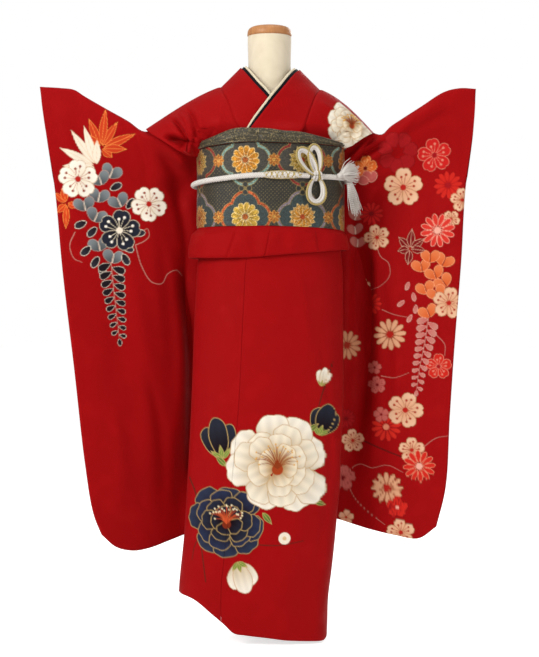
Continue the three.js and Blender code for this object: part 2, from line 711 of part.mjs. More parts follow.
// ---------------------------------------------------------------- the fold under the obi
function makeOhashori() {
  const bearings = BEARINGS;
  const outline = (at) => {
    const low = between(OHASHORI, "at", at, "z");
    const out = between(OHASHORI, "at", at, "out");
    const obiLow = between(OBI_EDGES, "at", at, "low");
    const snug = STACK.ohashori;
    const drop = obiLow - low;
    return [
      [snug, OHASHORI_TOP],
      [snug, obiLow - 1],
      [snug + (out - snug) * 0.62, obiLow - drop * 0.22],
      [snug + (out - snug) * 0.92, obiLow - drop * 0.6],
      [out, low + 7],
      [out - 1.5, low + 2],
      [out - 4, low],
      [out - 6.5, low + 2.5],
      [out - 7.5, low + 10],
      [Math.max(snug - 2.5, snug + (out - snug) * 0.5 - 5), obiLow - drop * 0.4],
      [snug - 2.5, obiLow + 4],
      [snug - 2.5, OHASHORI_TOP],
    ];
  };
  addPiece("ohashori", hoop(bearings, outline), "silkRed");
}

// ---------------------------------------------------------------- the upper body, collar and trims
function makeBody(half) {
  const outward = (p) => new THREE.Vector3(p.x * 0.5, p.y, Math.max(0, p.z - WAIST_TOP) * 1.5);
  const grid = gridOf(steps(0, 1, 6), steps(0, 1, 24));
  const surface = (across, along) => bodySurfaces[half.name](within(across), within(along));
  addPiece(half.name, cloth(surface, grid, { outward }), "silkRed");
}

const NECK_OUT = (p) => new THREE.Vector3(p.x * 0.6, p.y + (p.y < 0 ? -30 : 30), p.y < 0 ? 40 : 10);

function makeCollar() {
  const along = [0, 0.034, 0.046, ...steps(0, 1, 28).slice(2)];
  const band = (from, to, depth, wall) => {
    const grid = gridOf(to === null ? along : along.slice(2, -2), steps(0, 1, to === null ? 6 : 1));
    const surface = (t, share) => {
      const start = from;
      const end = to === null ? collarWidth(clamp01(t)) : to;
      return collarSurface(t, start + (end - start) * share);
    };
    return cloth(surface, grid, { outward: NECK_OUT, lift: -depth, wall });
  };
  addPiece("collar", band(0, null, 0, COLLAR_WALL), "silkRed");
  for (const trim of TRIMS) {
    addPiece(trim.name, band(trim.from, trim.to, trim.depth, TRIM_WALL), trim.finish);
  }
}

// ---------------------------------------------------------------- sleeves
function sleeveSurface(sleeve) {
  const edges = {
    top: curveThrough(sleeve.top),
    bottom: curveThrough(sleeve.bottom),
    inner: curveThrough(sleeve.inner.map((row) => row.point)),
    outer: curveThrough(sleeve.outer.map((row) => row.point)),
  };
  const corner = {
    topInner: vec(sleeve.top[0]),
    topOuter: vec(sleeve.top.at(-1)),
    bottomInner: vec(sleeve.bottom[0]),
    bottomOuter: vec(sleeve.bottom.at(-1)),
  };
  const halves = (rows) => rows.map((row, i) => ({ i: i / (rows.length - 1), half: row.half }));
  const [innerHalf, outerHalf] = [halves(sleeve.inner), halves(sleeve.outer)];
  // The middle of the sleeve, between its layers, from its four edges.
  const middle = (across, down) => {
    const [s, t] = [clamp01(across), clamp01(down)];
    const p = new THREE.Vector3();
    p.addScaledVector(edges.top.getPointAt(s), 1 - t).addScaledVector(edges.bottom.getPointAt(s), t);
    p.addScaledVector(edges.inner.getPointAt(t), 1 - s).addScaledVector(edges.outer.getPointAt(t), s);
    p.addScaledVector(corner.topInner, -(1 - s) * (1 - t)).addScaledVector(corner.topOuter, -s * (1 - t));
    p.addScaledVector(corner.bottomInner, -(1 - s) * t).addScaledVector(corner.bottomOuter, -s * t);
    return p;
  };
  const half = (s, t) =>
    between(innerHalf, "i", t, "half") * (1 - s) + between(outerHalf, "i", t, "half") * s;
  const fold = (s, t) => foldShift(SLEEVE_FOLDS, s, t, (f, along) => f.across + f.lean * along);
  return { middle, half, fold };
}

// Each layer of a sleeve is one cloth, sewn to the other along the top, the bottom and the outer edge.
function makeSleeve(sleeve) {
  const { middle, half, fold } = sleeveSurface(sleeve);
  const back = () => new THREE.Vector3(0, 1, 0);
  const stations = steps(0, 1, SLEEVE_STATIONS).map((s) => 1 - (1 - s) ** 1.15);
  const count = SLEEVE_LOOP / 2;
  // A row from the top seam to the bottom one: side is -1 in front and 1 behind, inset the depth inside the cloth.
  // A row that isn't open lies along the sewn edge.
  const rowAt = (side, across, inset, open) =>
    steps(0, Math.PI, count).map((turn, k) => {
      const trim = inset / 1000;
      const down = trim + (1 - 2 * trim) * (0.5 - 0.5 * Math.cos(turn));
      const p = middle(across, down);
      const n = normalOf(middle, within(across), within(down), back);
      const round = Math.sqrt(1 - (1 - Math.min(1, Math.abs(Math.sin(turn)) / 0.5)) ** 2);
      const sewn = !open || k === 0 || k === count;
      const apart = sewn ? SEAM / 2 : Math.max(0.4, half(across, down) * round - inset);
      return p.addScaledVector(n, side * apart + fold(across, down) * round * (1 - 0.6 * across));
    });
  const endInset = 0.993;
  // The hand comes out through a slit in the upper part of the outer edge.
  const cutter = [0.97, 1].map((s) =>
    steps(sleeve.cuff.from, sleeve.cuff.to, 6).map((t) => {
      const p = middle(s, t);
      if (s === 1) p.add(middle(1, t).sub(middle(0.97, t)).setLength(12));
      return { p, n: normalOf(middle, 0.99, t, back), gap: Math.max(1, half(1, t) - CLOTH) };
    }),
  );
  const faceOf = (side) => cutter.map((column) => column.map(({ p, n, gap }) => p.clone().addScaledVector(n, side * gap)));
  const slit = toSolid(wallBetween(faceOf(1), faceOf(-1), false));
  for (const [layer, side] of [
    ["front", -1],
    ["back", 1],
  ]) {
    const outer = [...stations.map((s) => rowAt(side, s, 0, true)), rowAt(side, 1, 0, false)];
    const inner = [
      ...stations.map((s) => rowAt(side, Math.min(s, endInset), CLOTH, true)),
      rowAt(side, endInset, CLOTH, false),
    ];
    const sheet = toSolid(wallBetween(outer, inner, false));
    addPiece(`${sleeve.name}_${layer}`, fromSolid(sheet.subtract(slit)), "silkRed");
  }
}

// ---------------------------------------------------------------- the obi
function makeObi() {
  const bearings = BEARINGS;
  const band = (at) => {
    const [low, high] = [between(OBI_EDGES, "at", at, "low"), between(OBI_EDGES, "at", at, "high")];
    const outer = STACK.obi;
    return [
      [outer, low],
      [outer, high],
      [outer - OBI_WALL, high],
      [outer - OBI_WALL, low],
    ];
  };
  addPiece("obi_band", hoop(bearings, band), "brocade");

  const scarf = (at) => {
    const foot = between(OBI_EDGES, "at", at, "high") + SEAM;
    const [height, out] = [between(OBIAGE, "at", at, "height"), between(OBIAGE, "at", at, "out")];
    const deep = out - OBIAGE_INNER;
    return [
      [0.1, 0],
      [0.8, 0],
      [1, 0.2],
      [0.95, 0.55],
      [0.62, 0.88],
      [0.3, 1],
      [0, 0.85],
      [0, 0.3],
    ].map(([x, z]) => [OBIAGE_INNER + deep * x, foot + height * z]);
  };
  addPiece("obiage", hoop(bearings, scarf), "scarf");
}

function makeDrum() {
  const { near, deep, low, high, wall, corner } = DRUM;
  const rounded = (inset) => {
    const [y0, y1, z0, z1, r] = [near + inset, near + deep - inset, low + inset, high - inset, corner - inset];
    const path = new THREE.Shape();
    path.moveTo(y0 + r, z0).lineTo(y1 - r, z0).absarc(y1 - r, z0 + r, r, -Math.PI / 2, 0);
    path.lineTo(y1, z1 - r).absarc(y1 - r, z1 - r, r, 0, Math.PI / 2);
    path.lineTo(y0 + r, z1).absarc(y0 + r, z1 - r, r, Math.PI / 2, Math.PI);
    path.lineTo(y0, z0 + r).absarc(y0 + r, z0 + r, r, Math.PI, 1.5 * Math.PI);
    return path;
  };
  const outline = rounded(0);
  outline.holes.push(new THREE.Path(rounded(wall).getPoints(5)));
  // The outline is drawn in Y and Z, and runs along X.
  const along = (shape, halfWidth) => {
    const solid = new THREE.ExtrudeGeometry(shape, { depth: 2 * halfWidth, bevelEnabled: false, curveSegments: 5 });
    const turn = new THREE.Matrix4().set(0, 0, 1, -halfWidth, 1, 0, 0, 0, 0, 1, 0, 0, 0, 0, 0, 1);
    return solid.applyMatrix4(turn);
  };
  addPiece("obi_drum", along(outline, DRUM.halfWidth), "brocade").position.x = WAIST.centreX;

  const slab = (y, thick, z0, z1) => {
    const shape = new THREE.Shape();
    shape.moveTo(y, z0).lineTo(y + thick, z0).lineTo(y + thick, z1).lineTo(y, z1).closePath();
    return shape;
  };
  const handNear = near + wall + SEAM;
  const hand = along(slab(handNear, DRUM_HAND.wall, DRUM_HAND.low, DRUM_HAND.high), DRUM.halfWidth + DRUM_HAND.reach);
  addPiece("obi_hand", hand, "brocade").position.x = WAIST.centreX;

  const tailNear = near - SEAM - DRUM_TAIL.wall;
  const tail = along(slab(tailNear, DRUM_TAIL.wall, DRUM_TAIL.low, DRUM_TAIL.top), DRUM.halfWidth - 2);
  addPiece("obi_tail", tail, "brocade").position.x = WAIST.centreX;
}

// ---------------------------------------------------------------- the cord
function cordPoint(at, z, off) {
  return shiftOut(waistSurface, at, z, off, WAIST_AXIS);
}

function makeCord() {
  const seat = STACK.obi + 3 * SEAM + CORD_RADIUS;
  const runTo = CORD_RUN.at(-1).at;
  const route = steps(CORD_RUN[0].at, runTo, 30).map((at) => cordPoint(at, between(CORD_RUN, "at", at, "z"), seat));
  const run = toSolid(tube(new THREE.CatmullRomCurve3(route), CORD_RADIUS, 46, 8));

  const ornamentRings = steps(ORNAMENT.from, ORNAMENT.to, 9).map((at, i, all) => {
    const full = Math.sin((Math.PI * (i + 0.6)) / (all.length + 0.2)) ** 0.4;
    return steps(0, 315, 7).map((turn) =>
      cordPoint(
        at,
        ORNAMENT.z + (ORNAMENT.high / 2) * full * Math.sin(turn * DEG),
        seat + (ORNAMENT.deep / 2) * full * Math.cos(turn * DEG),
      ),
    );
  });
  const ornament = toSolid(lofted(ornamentRings));

  const [wide, deep, tall] = KNOT.half;
  const knotSeat = cordPoint(KNOT.at, KNOT.z, STACK.obi + SEAM + deep);
  const outwards = normalOf(waistSurface, KNOT.at, KNOT.z, WAIST_AXIS);
  const sideways = new THREE.Vector3(-outwards.y, outwards.x, 0);
  const up = new THREE.Vector3(0, 0, 1);
  const knotFrame = new THREE.Matrix4().makeBasis(
    sideways.clone().multiplyScalar(wide),
    outwards.clone().multiplyScalar(-deep),
    up.clone().multiplyScalar(tall),
  );
  knotFrame.setPosition(knotSeat);
  const knot = toSolid(new THREE.SphereGeometry(1, 12, 8).applyMatrix4(knotFrame));

  const loops = LOOPS.map(({ points, length, width }) => {
    const away = sideways.clone().multiplyScalar(Math.cos(points * DEG));
    away.addScaledVector(up, Math.sin(points * DEG));
    const beside = new THREE.Vector3().crossVectors(outwards, away);
    const loopSeat = knotSeat.clone().addScaledVector(outwards, 0.5);
    const shape = steps(0, 1, 14).map((t) => {
      const turn = 2 * Math.PI * t;
      const reach = 4 + (length - LOOP_RADIUS - 4) * (0.5 - 0.5 * Math.cos(turn));
      const swing = (width / 2 - LOOP_RADIUS / 2) * Math.sin(turn) * (0.75 + 0.35 * (0.5 - 0.5 * Math.cos(turn)));
      return loopSeat.clone().addScaledVector(away, reach).addScaledVector(beside, swing);
    });
    return toSolid(tube(new THREE.CatmullRomCurve3(shape), LOOP_RADIUS, 13, 8));
  });
  const whole = [ornament, knot, ...loops].reduce((sum, piece) => sum.add(piece), run);
  addPiece("obijime", fromSolid(whole), "braid");
}

function makeTassel({ name, at, z, turn, length, strands, spread }) {
  const outwards = normalOf(waistSurface, at, z, WAIST_AXIS);
  const sideways = new THREE.Vector3(-outwards.y, outwards.x, 0);
  const hang = sideways.clone().multiplyScalar(Math.cos(turn * DEG));
  hang.addScaledVector(new THREE.Vector3(0, 0, 1), Math.sin(turn * DEG));
  const beside = new THREE.Vector3().crossVectors(outwards, hang);
  const headRadius = 7.5;
  const headLength = 14;
  const seat = cordPoint(at, z, STACK.obi + 2 * CORD_RADIUS + headRadius - SEAM);
  const frame = new THREE.Matrix4().makeBasis(beside.clone().negate(), hang, outwards);
  frame.setPosition(seat.clone().addScaledVector(hang, headLength / 2));
  const head = new THREE.CylinderGeometry(headRadius, headRadius * 0.8, headLength, 10).applyMatrix4(frame);
  let whole = toSolid(head);
  const golden = Math.PI * (3 - Math.sqrt(5));
  for (let i = 0; i < strands; i++) {
    const r = Math.sqrt((i + 0.5) / strands);
    const angle = i * golden;
    const side = [Math.cos(angle) * r, Math.sin(angle) * r];
    const root = seat.clone().addScaledVector(hang, headLength - 2.5);
    root.addScaledVector(beside, side[0] * (headRadius - 1.6)).addScaledVector(outwards, side[1] * (headRadius - 1.6));
    const tip = root.clone().addScaledVector(hang, length * (1 - 0.12 * r * r));
    tip.addScaledVector(beside, side[0] * spread).addScaledVector(outwards, Math.abs(side[1]) * spread * 0.5);
    tip.z -= length * 0.12;
    const way = tip.clone().sub(root);
    const strand = new THREE.ConeGeometry(0.9, way.length(), 3);
    strand.applyQuaternion(new THREE.Quaternion().setFromUnitVectors(new THREE.Vector3(0, 1, 0), way.clone().normalize()));
    strand.translate(...root.clone().add(tip).multiplyScalar(0.5).toArray());
    whole = whole.add(toSolid(strand));
  }
  addPiece(name, fromSolid(whole), "braid");
}

makeForm();
makeSkirt();
makeOhashori();
[BODY_LEFT, BODY_RIGHT].forEach(makeBody);
makeCollar();
[SLEEVE_LEFT, SLEEVE_RIGHT].forEach(makeSleeve);
makeObi();
makeDrum();
makeCord();
TASSELS.forEach(makeTassel);

export default kimono;
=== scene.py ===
"""Furisode kimono dressed on a limbless form: red crepe silk, brocade obi, scarf, braided cord."""

import math

import bmesh
import bpy
import numpy as np
from bpy.props import FloatProperty, FloatVectorProperty, PointerProperty
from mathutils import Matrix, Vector


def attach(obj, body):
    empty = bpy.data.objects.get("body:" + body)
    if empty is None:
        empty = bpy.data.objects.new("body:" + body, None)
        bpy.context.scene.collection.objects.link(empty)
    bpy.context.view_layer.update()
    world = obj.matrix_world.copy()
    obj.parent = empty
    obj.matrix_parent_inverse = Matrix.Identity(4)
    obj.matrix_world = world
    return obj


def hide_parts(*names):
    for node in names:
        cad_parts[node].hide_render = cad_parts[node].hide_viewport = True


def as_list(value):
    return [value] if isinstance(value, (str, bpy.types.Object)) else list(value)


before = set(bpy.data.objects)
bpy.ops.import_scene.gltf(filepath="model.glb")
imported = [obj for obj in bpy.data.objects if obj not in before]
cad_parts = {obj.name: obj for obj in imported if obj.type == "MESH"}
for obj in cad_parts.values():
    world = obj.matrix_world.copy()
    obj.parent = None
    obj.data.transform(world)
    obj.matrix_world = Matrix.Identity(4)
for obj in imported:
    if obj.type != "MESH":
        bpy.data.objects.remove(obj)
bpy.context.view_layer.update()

bl_info = {
    "name": "Furisode kimono",
    "version": (1, 0, 0),
    "blender": (4, 5, 0),
    "location": "View3D > Sidebar > Kimono",
    "description": "Builds a furisode kimono, its obi and cord on a dress form",
    "category": "Add Mesh",
}

MM = 0.001

# ---- the garment's tables, in millimetres and degrees
# A bearing is 0 in front, 90 at the wearer's left and 180 behind.
WAIST_CENTRE, WAIST_HALF, WAIST_POWER, WAIST_TOP = 2.5, (167, 102), 2.2, 1100
SEAM = 0.3
OFF_BODY, OFF_SKIRT, OFF_OHASHORI, OFF_OBI = 2.0, 4.6, 7.4, 10.7
UNDER = -2.3  # the hidden layer of the skirt against the one over it
OBIAGE_INNER = 9.6
CORD_SEAT = OFF_OBI + 3 * SEAM + 6

# z, halfWidth, halfDepth
FORM_SECTIONS = (
    (640, 118, 72), (672, 152, 92), (760, 167, 102), (1070, 167, 102), (1105, 163, 97), (1205, 148, 83),
    (1252, 126, 72), (1288, 90, 62), (1325, 56, 54), (1439.7, 52, 52)
)
# z, left, right, front, back, power
SKIRT_SECTIONS = (
    (-20, -217, 138, -112, 84, 2.9), (60, -216, 141, -112, 90, 2.8), (135, -214, 146, -112, 95, 2.8),
    (241, -204, 155, -112, 100, 2.7), (380, -196, 167, -113, 105, 2.6), (567, -187, 177, -113, 108, 2.4),
    (740, -181, 179, -112, 109, 2.3), (860, -175, 178.5, -110, 108.5, 2.2)
)
# at, z
HEM = (
    (-94, 125), (-75, 115), (-60, 103), (-45, 70), (-35, 49), (-25, 29), (-12, 24), (20, 17), (40, 11), (60, 7),
    (70, 6), (82, 13), (95, 20), (120, 25), (180, 38), (215, 60), (240, 82), (270, 108)
)
# z, at
OKUMI_SEAM = ((0, -37.5), (180, -38), (572, -32), (905, -29))
# at, out, z
OHASHORI = (
    (-90, 33, 908), (-60, 26, 905), (-30, 19, 905), (10, 17, 911), (45, 17.5, 917), (90, 20, 927), (180, 16, 916),
    (230, 20, 910), (270, 33, 908)
)
# at, low, high
OBI_EDGES = (
    (-90, 980, 1162), (-35, 980, 1175), (0, 980, 1174), (50, 977, 1172), (90, 973, 1170), (180, 976, 1168),
    (270, 980, 1162)
)
# at, height, out
OBIAGE = (
    (-90, 10, 15), (-70, 18, 17), (-40, 33, 19), (0, 31, 19), (30, 27, 19), (52, 20, 18), (72, 11, 16), (90, 9, 15),
    (130, 12, 14), (180, 16, 13), (230, 12, 14), (270, 10, 15)
)
# at, z
CORD_RUN = ((52, 1096), (90, 1096), (180, 1090), (270, 1083), (300, 1089), (330, 1096), (360, 1098), (404, 1097))
COLLAR_INNER = (
    (-96, -93.5, 1146), (-46.7, -104, 1207), (0, -99, 1267), (33, -86, 1308.5), (58, -52, 1342.5), (73, -8, 1359),
    (62, 48, 1348), (0, 84, 1332), (-62, 48, 1350), (-69.5, -8, 1364), (-55.5, -52, 1345), (-35, -80, 1317.5),
    (-7, -87, 1286.5), (30, -91.5, 1236), (50, -98.5, 1168)
)
COLLAR_OUTER = (
    (53.5, -105.5, 1146), (80.5, -99.5, 1209), (94, -86, 1247), (106, -66, 1280.5), (115, -40, 1300.5), (121, -5, 1311),
    (98, 56, 1300), (0, 96, 1272), (-97, 56, 1303), (-116, -5, 1317.5), (-113, -40, 1304), (-101.5, -66, 1280.5),
    (-89, -82, 1247), (-71.5, -94.5, 1206.5), (-49, -100.5, 1147)
)
BODY_LEFT_ARM = (
    (168, 5, 1100), (170, 2, 1130), (181, -24, 1156), (205, -44, 1180), (228, -40, 1195), (244, -20, 1205),
    (252, 12, 1210), (256, 50, 1202), (228, 72, 1190), (184, 64, 1168), (168, 5, 1100)
)
BODY_LEFT_SWELL = (20, 20, 14, 12, 11, 11, 11, 12, 12, 14, 22)
BODY_RIGHT_ARM = (
    (-163, 5, 1100), (-167, 2, 1130), (-184, -22, 1147), (-214, -46, 1160), (-250, -44, 1183), (-282, -24, 1204),
    (-298, 12, 1219.5), (-286, 50, 1211), (-250, 72, 1194), (-190, 64, 1168), (-163, 5, 1100)
)
BODY_RIGHT_SWELL = (20, 20, 14, 12, 9, 8, 8, 10, 12, 14, 22)
SLEEVE_RIGHT = {
    "top": (
        (-204, 20, 1218), (-240, 17, 1224), (-272, 14, 1219), (-303, 12, 1214.5), (-340, 11, 1239), (-392, 9, 1268),
        (-444, 8, 1298), (-470, 8, 1314), (-500, 7, 1318), (-552, 6, 1321)
    ),
    "inner": (
        (-204, 20, 1218), (-184, 26, 1180), (-173, 40, 1155), (-170, 64, 1125), (-168, 94, 1085), (-168, 102, 980),
        (-168, 114, 800), (-166, 120, 560), (-164, 122, 250)
    ),
    "outer": (
        (-552, 6, 1321), (-540, 4, 1230), (-516, 4, 1076), (-497, 6, 874), (-470, 8, 644), (-444, 10, 414),
        (-425, 12, 298), (-404, 13, 243)
    ),
    "bottom": (
        (-164, 122, 250), (-214, 98, 232), (-252, 80, 218.5), (-290, 62, 206), (-329, 44, 201), (-370, 26, 212),
        (-404, 13, 243)
    ),
    "inner_half": (20, 16, 13, 13, 14, 18, 18, 16, 12),
    "outer_half": (6, 8, 7, 5, 5, 5, 5, 5),
}
SLEEVE_LEFT = {
    "top": (
        (200, 20, 1221), (221, 17, 1217), (244, 14, 1213), (270, 12, 1207), (291, 12, 1226), (324, 11, 1248),
        (363, 10, 1273), (420, 9, 1309), (458, 8, 1318), (496, 6, 1316)
    ),
    "inner": (
        (200, 20, 1221), (187, 26, 1178), (177, 40, 1155), (174, 66, 1125), (172, 95, 1085), (169, 102, 980),
        (158, 116, 800), (146, 122, 560), (132, 124, 277)
    ),
    "outer": (
        (496, 6, 1316), (490, 4, 1220), (471, 4, 1076), (461, 6, 903), (446, 8, 711), (434, 10, 529), (424, 12, 356),
        (402, 14, 263)
    ),
    "bottom": (
        (132, 124, 277), (170, 108, 270), (209, 92, 259), (247, 76, 249), (305, 50, 238), (360, 27, 233), (402, 14, 263)
    ),
    "inner_half": (20, 16, 13, 12, 13, 18, 18, 16, 12),
    "outer_half": (6, 8, 7, 5, 5, 5, 5, 5),
}
# top and bottom bearing, spread, height, from and to height
SKIRT_FOLDS = (
    (74, 66, 9, 5, 640, 40), (60, 50, 10, -3, 560, 60), (-70, -76, 8, 3.5, 700, 120), (122, 128, 12, -8, 760, 0),
    (146, 152, 11, 7, 820, 0), (205, 212, 13, -7, 780, 20), (236, 240, 10, 6, 700, 30)
)
# across at the top and bottom, spread, height, from and to share of the length
SLEEVE_FOLDS = (
    (0.1, 0.15, 0.09, -9, 0.02, 1), (0.24, 0.21, 0.08, 6, 0.05, 1), (0.38, 0.24, 0.08, -4, 0.05, 0.7),
    (0.62, 0.52, 0.1, 3, 0.15, 1)
)
CUFF = (0.018, 0.215)
OKUMI_AT = -29.0
OVERLAP = -101  # the bearing past which a place counts on from the back
SKIRT_TOP = 1005
SKIRT_EDGES = {"free": -90, "side": 94, "under_seam": -99, "under_okumi": 15, "under_edge": 51}
ORNAMENT = (350.5, 396, 1098)  # from and to bearing, height
KNOT_AT, KNOT_Z, KNOT_HALF = 49.5, 1097, (11, 14)  # bearing, height, half its thickness and its height
# points (clock angle), length, width of each loop of the bow
LOOPS = ((127, 78, 38), (97, 74, 35), (-93, 68, 47))
# name, bearing, height, turn, length, spread
TASSELS = (("tassel_upper", 66, 1097, 24, 46, 22), ("tassel_lower", 76, 1098, -66, 68, 17))
DRUM = {"half": 150, "near": 126, "deep": 84, "low": 934, "high": 1206, "wall": 5, "corner": 34}


# ---- numbers
def smooth(t):
    t = np.clip(t, 0, 1)
    return t * t * (3 - 2 * t)


def mix(a, b, t):
    return a + (b - a) * t


def between(rows, at, column=1):
    """A column of a table, smoothly between its rows, which are in order of their first number."""
    rows = np.asarray(rows, float)
    keys, values = rows[:, 0], rows[:, column]
    at = np.asarray(at, float)
    last = len(keys) - 1
    low, high = np.maximum(np.arange(last + 1) - 1, 0), np.minimum(np.arange(last + 1) + 1, last)
    slopes = (values[high] - values[low]) / (keys[high] - keys[low])
    i = np.clip(np.searchsorted(keys, at, side="right") - 1, 0, last - 1)
    h = keys[i + 1] - keys[i]
    t, rise = (at - keys[i]) / h, values[i + 1] - values[i]
    m0, m1 = slopes[i] * h, slopes[i + 1] * h
    found = values[i] + t * (m0 + t * (3 * rise - 2 * m0 - m1 + t * (m0 + m1 - 2 * rise)))
    return np.where(at <= keys[0], values[0], np.where(at >= keys[-1], values[-1], found))


def point(x, y, z):
    return np.stack(np.broadcast_arrays(np.asarray(x, float), y, z), -1)


def unit(v):
    return v / np.maximum(np.linalg.norm(v, axis=-1, keepdims=True), 1e-9)


class Route:
    """A centripetal curve through points, read by row or by share of its length."""

    def __init__(self, points):
        p = np.array(points, float)
        self.p = np.vstack([2 * p[0] - p[1], p, 2 * p[-1] - p[-2]])
        self.count = len(p)
        fine = self.at(np.linspace(0, 1, 201))
        self.lengths = np.concatenate([[0], np.cumsum(np.linalg.norm(np.diff(fine, axis=0), axis=1))])

    def at(self, t):
        t = np.asarray(t, float)
        place = np.clip(t, 0, 1) * (self.count - 1)
        i = np.clip(np.floor(place).astype(int), 0, self.count - 2)
        w = (place - i)[..., None]
        p0, p1, p2, p3 = (self.p[i + k] for k in range(4))
        gaps = [
            np.maximum(np.sum((b - a) ** 2, -1, keepdims=True) ** 0.25, 1e-4) for a, b in ((p0, p1), (p1, p2), (p2, p3))
        ]
        d0, d1, d2 = gaps
        t1 = ((p1 - p0) / d0 - (p2 - p0) / (d0 + d1) + (p2 - p1) / d1) * d1
        t2 = ((p2 - p1) / d1 - (p3 - p1) / (d1 + d2) + (p3 - p2) / d2) * d1
        return p1 + w * (t1 + w * (-3 * p1 + 3 * p2 - 2 * t1 - t2 + w * (2 * p1 - 2 * p2 + t1 + t2)))

    def share(self, s):
        s = np.clip(np.asarray(s, float), 0, 1)
        return self.at(np.interp(s * self.lengths[-1], self.lengths, np.linspace(0, 1, 201)))


def normal_of(surface, u, v, outward):
    e = 1e-3
    n = unit(np.cross(surface(u + e, v) - surface(u - e, v), surface(u, v + e) - surface(u, v - e)))
    side = np.sum(n * outward(surface(u, v)), -1, keepdims=True)
    return np.where(side < 0, -n, n)


def off(surface, u, v, distance, outward):
    distance = np.asarray(distance, float)
    return surface(u, v) + normal_of(surface, u, v, outward) * distance[..., None]


def bearing(at, half_width, half_depth, power):
    s, c = np.abs(np.sin(np.radians(at))) / half_width, np.abs(np.cos(np.radians(at))) / half_depth
    return (s**power + c**power) ** (-1 / power)


# ---- the surfaces, as in the garment's solids
def from_axis(p):
    return point(p[..., 0] - WAIST_CENTRE, p[..., 1], 0)


def waist(at, z):
    r = bearing(at, *WAIST_HALF, WAIST_POWER)
    return point(WAIST_CENTRE + r * np.sin(np.radians(at)), -r * np.cos(np.radians(at)), z)


def on_waist(at, z, distance):
    return off(waist, at, z, distance, from_axis)


def tucked(p, distance, sooner):
    """Where the obi and its scarf close over the cloth, it lies on the waist."""
    at = np.degrees(np.arctan2(p[..., 0] - WAIST_CENTRE, -p[..., 1]))
    turn = np.where(at < -90, at + 360, at)
    covered = between(OBI_EDGES, turn, 2) + between(OBIAGE, turn)
    far = np.hypot(p[..., 0] - WAIST_CENTRE, p[..., 1]) - bearing(at, *WAIST_HALF, WAIST_POWER)
    free = np.maximum(smooth((p[..., 2] - covered + sooner) / 29), smooth((far - 14) / 24))[..., None]
    return mix(on_waist(at, p[..., 2], distance + 0 * at), p, free)


def body_off(z):
    return OFF_BODY - 5 * smooth((z - 1120) / 60)


def skirt_axis(p):
    return point(p[..., 0] + 15, p[..., 1], 0)


def fold_height(rows, across, down):
    """How far long folds lift the cloth: the rows of SKIRT_FOLDS and SLEEVE_FOLDS."""
    total = 0
    for top, bottom, spread, high, start, end in rows:
        along = (down - start) / (end - start)
        away = (across - mix(top, bottom, np.minimum(1, along))) / spread
        total = total + np.where(along > 0, high * smooth(along * 2.5) * np.exp(-away * away), 0)
    return total


def skirt(at, z):
    at, z = np.broadcast_arrays(np.asarray(at, float), z)
    left, right, front, back, power = (between(SKIRT_SECTIONS, z, k) for k in range(1, 6))
    r = bearing(at, (right - left) / 2, (back - front) / 2, power)
    r = r + fold_height(SKIRT_FOLDS, np.where(at < OVERLAP, at + 360, at), z)
    loose = (left + right) / 2 + r * np.sin(np.radians(at)), (front + back) / 2 - r * np.cos(np.radians(at))
    snug = smooth((z - 862) / 68)[..., None]
    return mix(point(*loose, z), on_waist(at, z, OFF_SKIRT + 0 * z), snug)


COLLAR_IN, COLLAR_OUT = Route(COLLAR_INNER), Route(COLLAR_OUTER)


def collar_width(along):
    return np.linalg.norm(COLLAR_IN.at(along) - COLLAR_OUT.at(along), axis=-1)


def collar(along, across):
    along, across = np.broadcast_arrays(np.asarray(along, float), across)
    inner, outer = COLLAR_IN.at(along), COLLAR_OUT.at(along)
    wide = np.linalg.norm(inner - outer, axis=-1)
    p = mix(inner, outer, (across / wide)[..., None])
    over = OFF_BODY + 2.5 + 4 * SEAM + 3.4 * smooth((p[..., 2] - 1176) / 8)
    return tucked(p, np.where(along < 0.5, over, body_off(p[..., 2])), 3)


def body_half(side, arms, swells):
    arm = Route(arms)
    last = len(arms) - 1
    swell = [(i / last, s) for i, s in enumerate(swells)]
    end = 0 if side > 0 else 14

    def seam_point(row):
        inner, outer = COLLAR_IN.at(row / 14), COLLAR_OUT.at(row / 14)
        return outer - unit(outer - inner) * 3.5  # the seam lies under the collar

    foot = seam_point(np.float64(end))
    front_foot = np.array([foot[0], foot[1], WAIST_TOP])
    back_foot = np.array([side * SEAM, WAIST_HALF[1], WAIST_TOP])
    nape = seam_point(np.float64(7))
    nape[0] = side * SEAM

    def seam_line(along):
        row = along * last
        middle = seam_point(end + side * (np.clip(row, 1, 8) - 1))
        middle[..., 0] = np.where(side * middle[..., 0] < SEAM, side * SEAM, middle[..., 0])
        low = mix(front_foot, foot, row[..., None])
        high = mix(nape, back_foot, ((row - 8) / 2)[..., None])
        return np.where(row[..., None] < 1, low, np.where(row[..., None] > 8, high, middle))

    def surface(across, along):
        across, along = np.broadcast_arrays(np.asarray(across, float), np.clip(along, 0, 1))
        p = mix(seam_line(along), arm.at(along), across[..., None])
        away = unit(p - np.array([0, 0, 1150]))
        p = p + away * (between(swell, along) * np.sin(np.pi * np.clip(across, 0, 1) ** 0.78))[..., None]
        p = p - away * (2.2 * smooth(1 - across / 0.05))[..., None]
        return tucked(p, body_off(p[..., 2]), 0)

    return surface


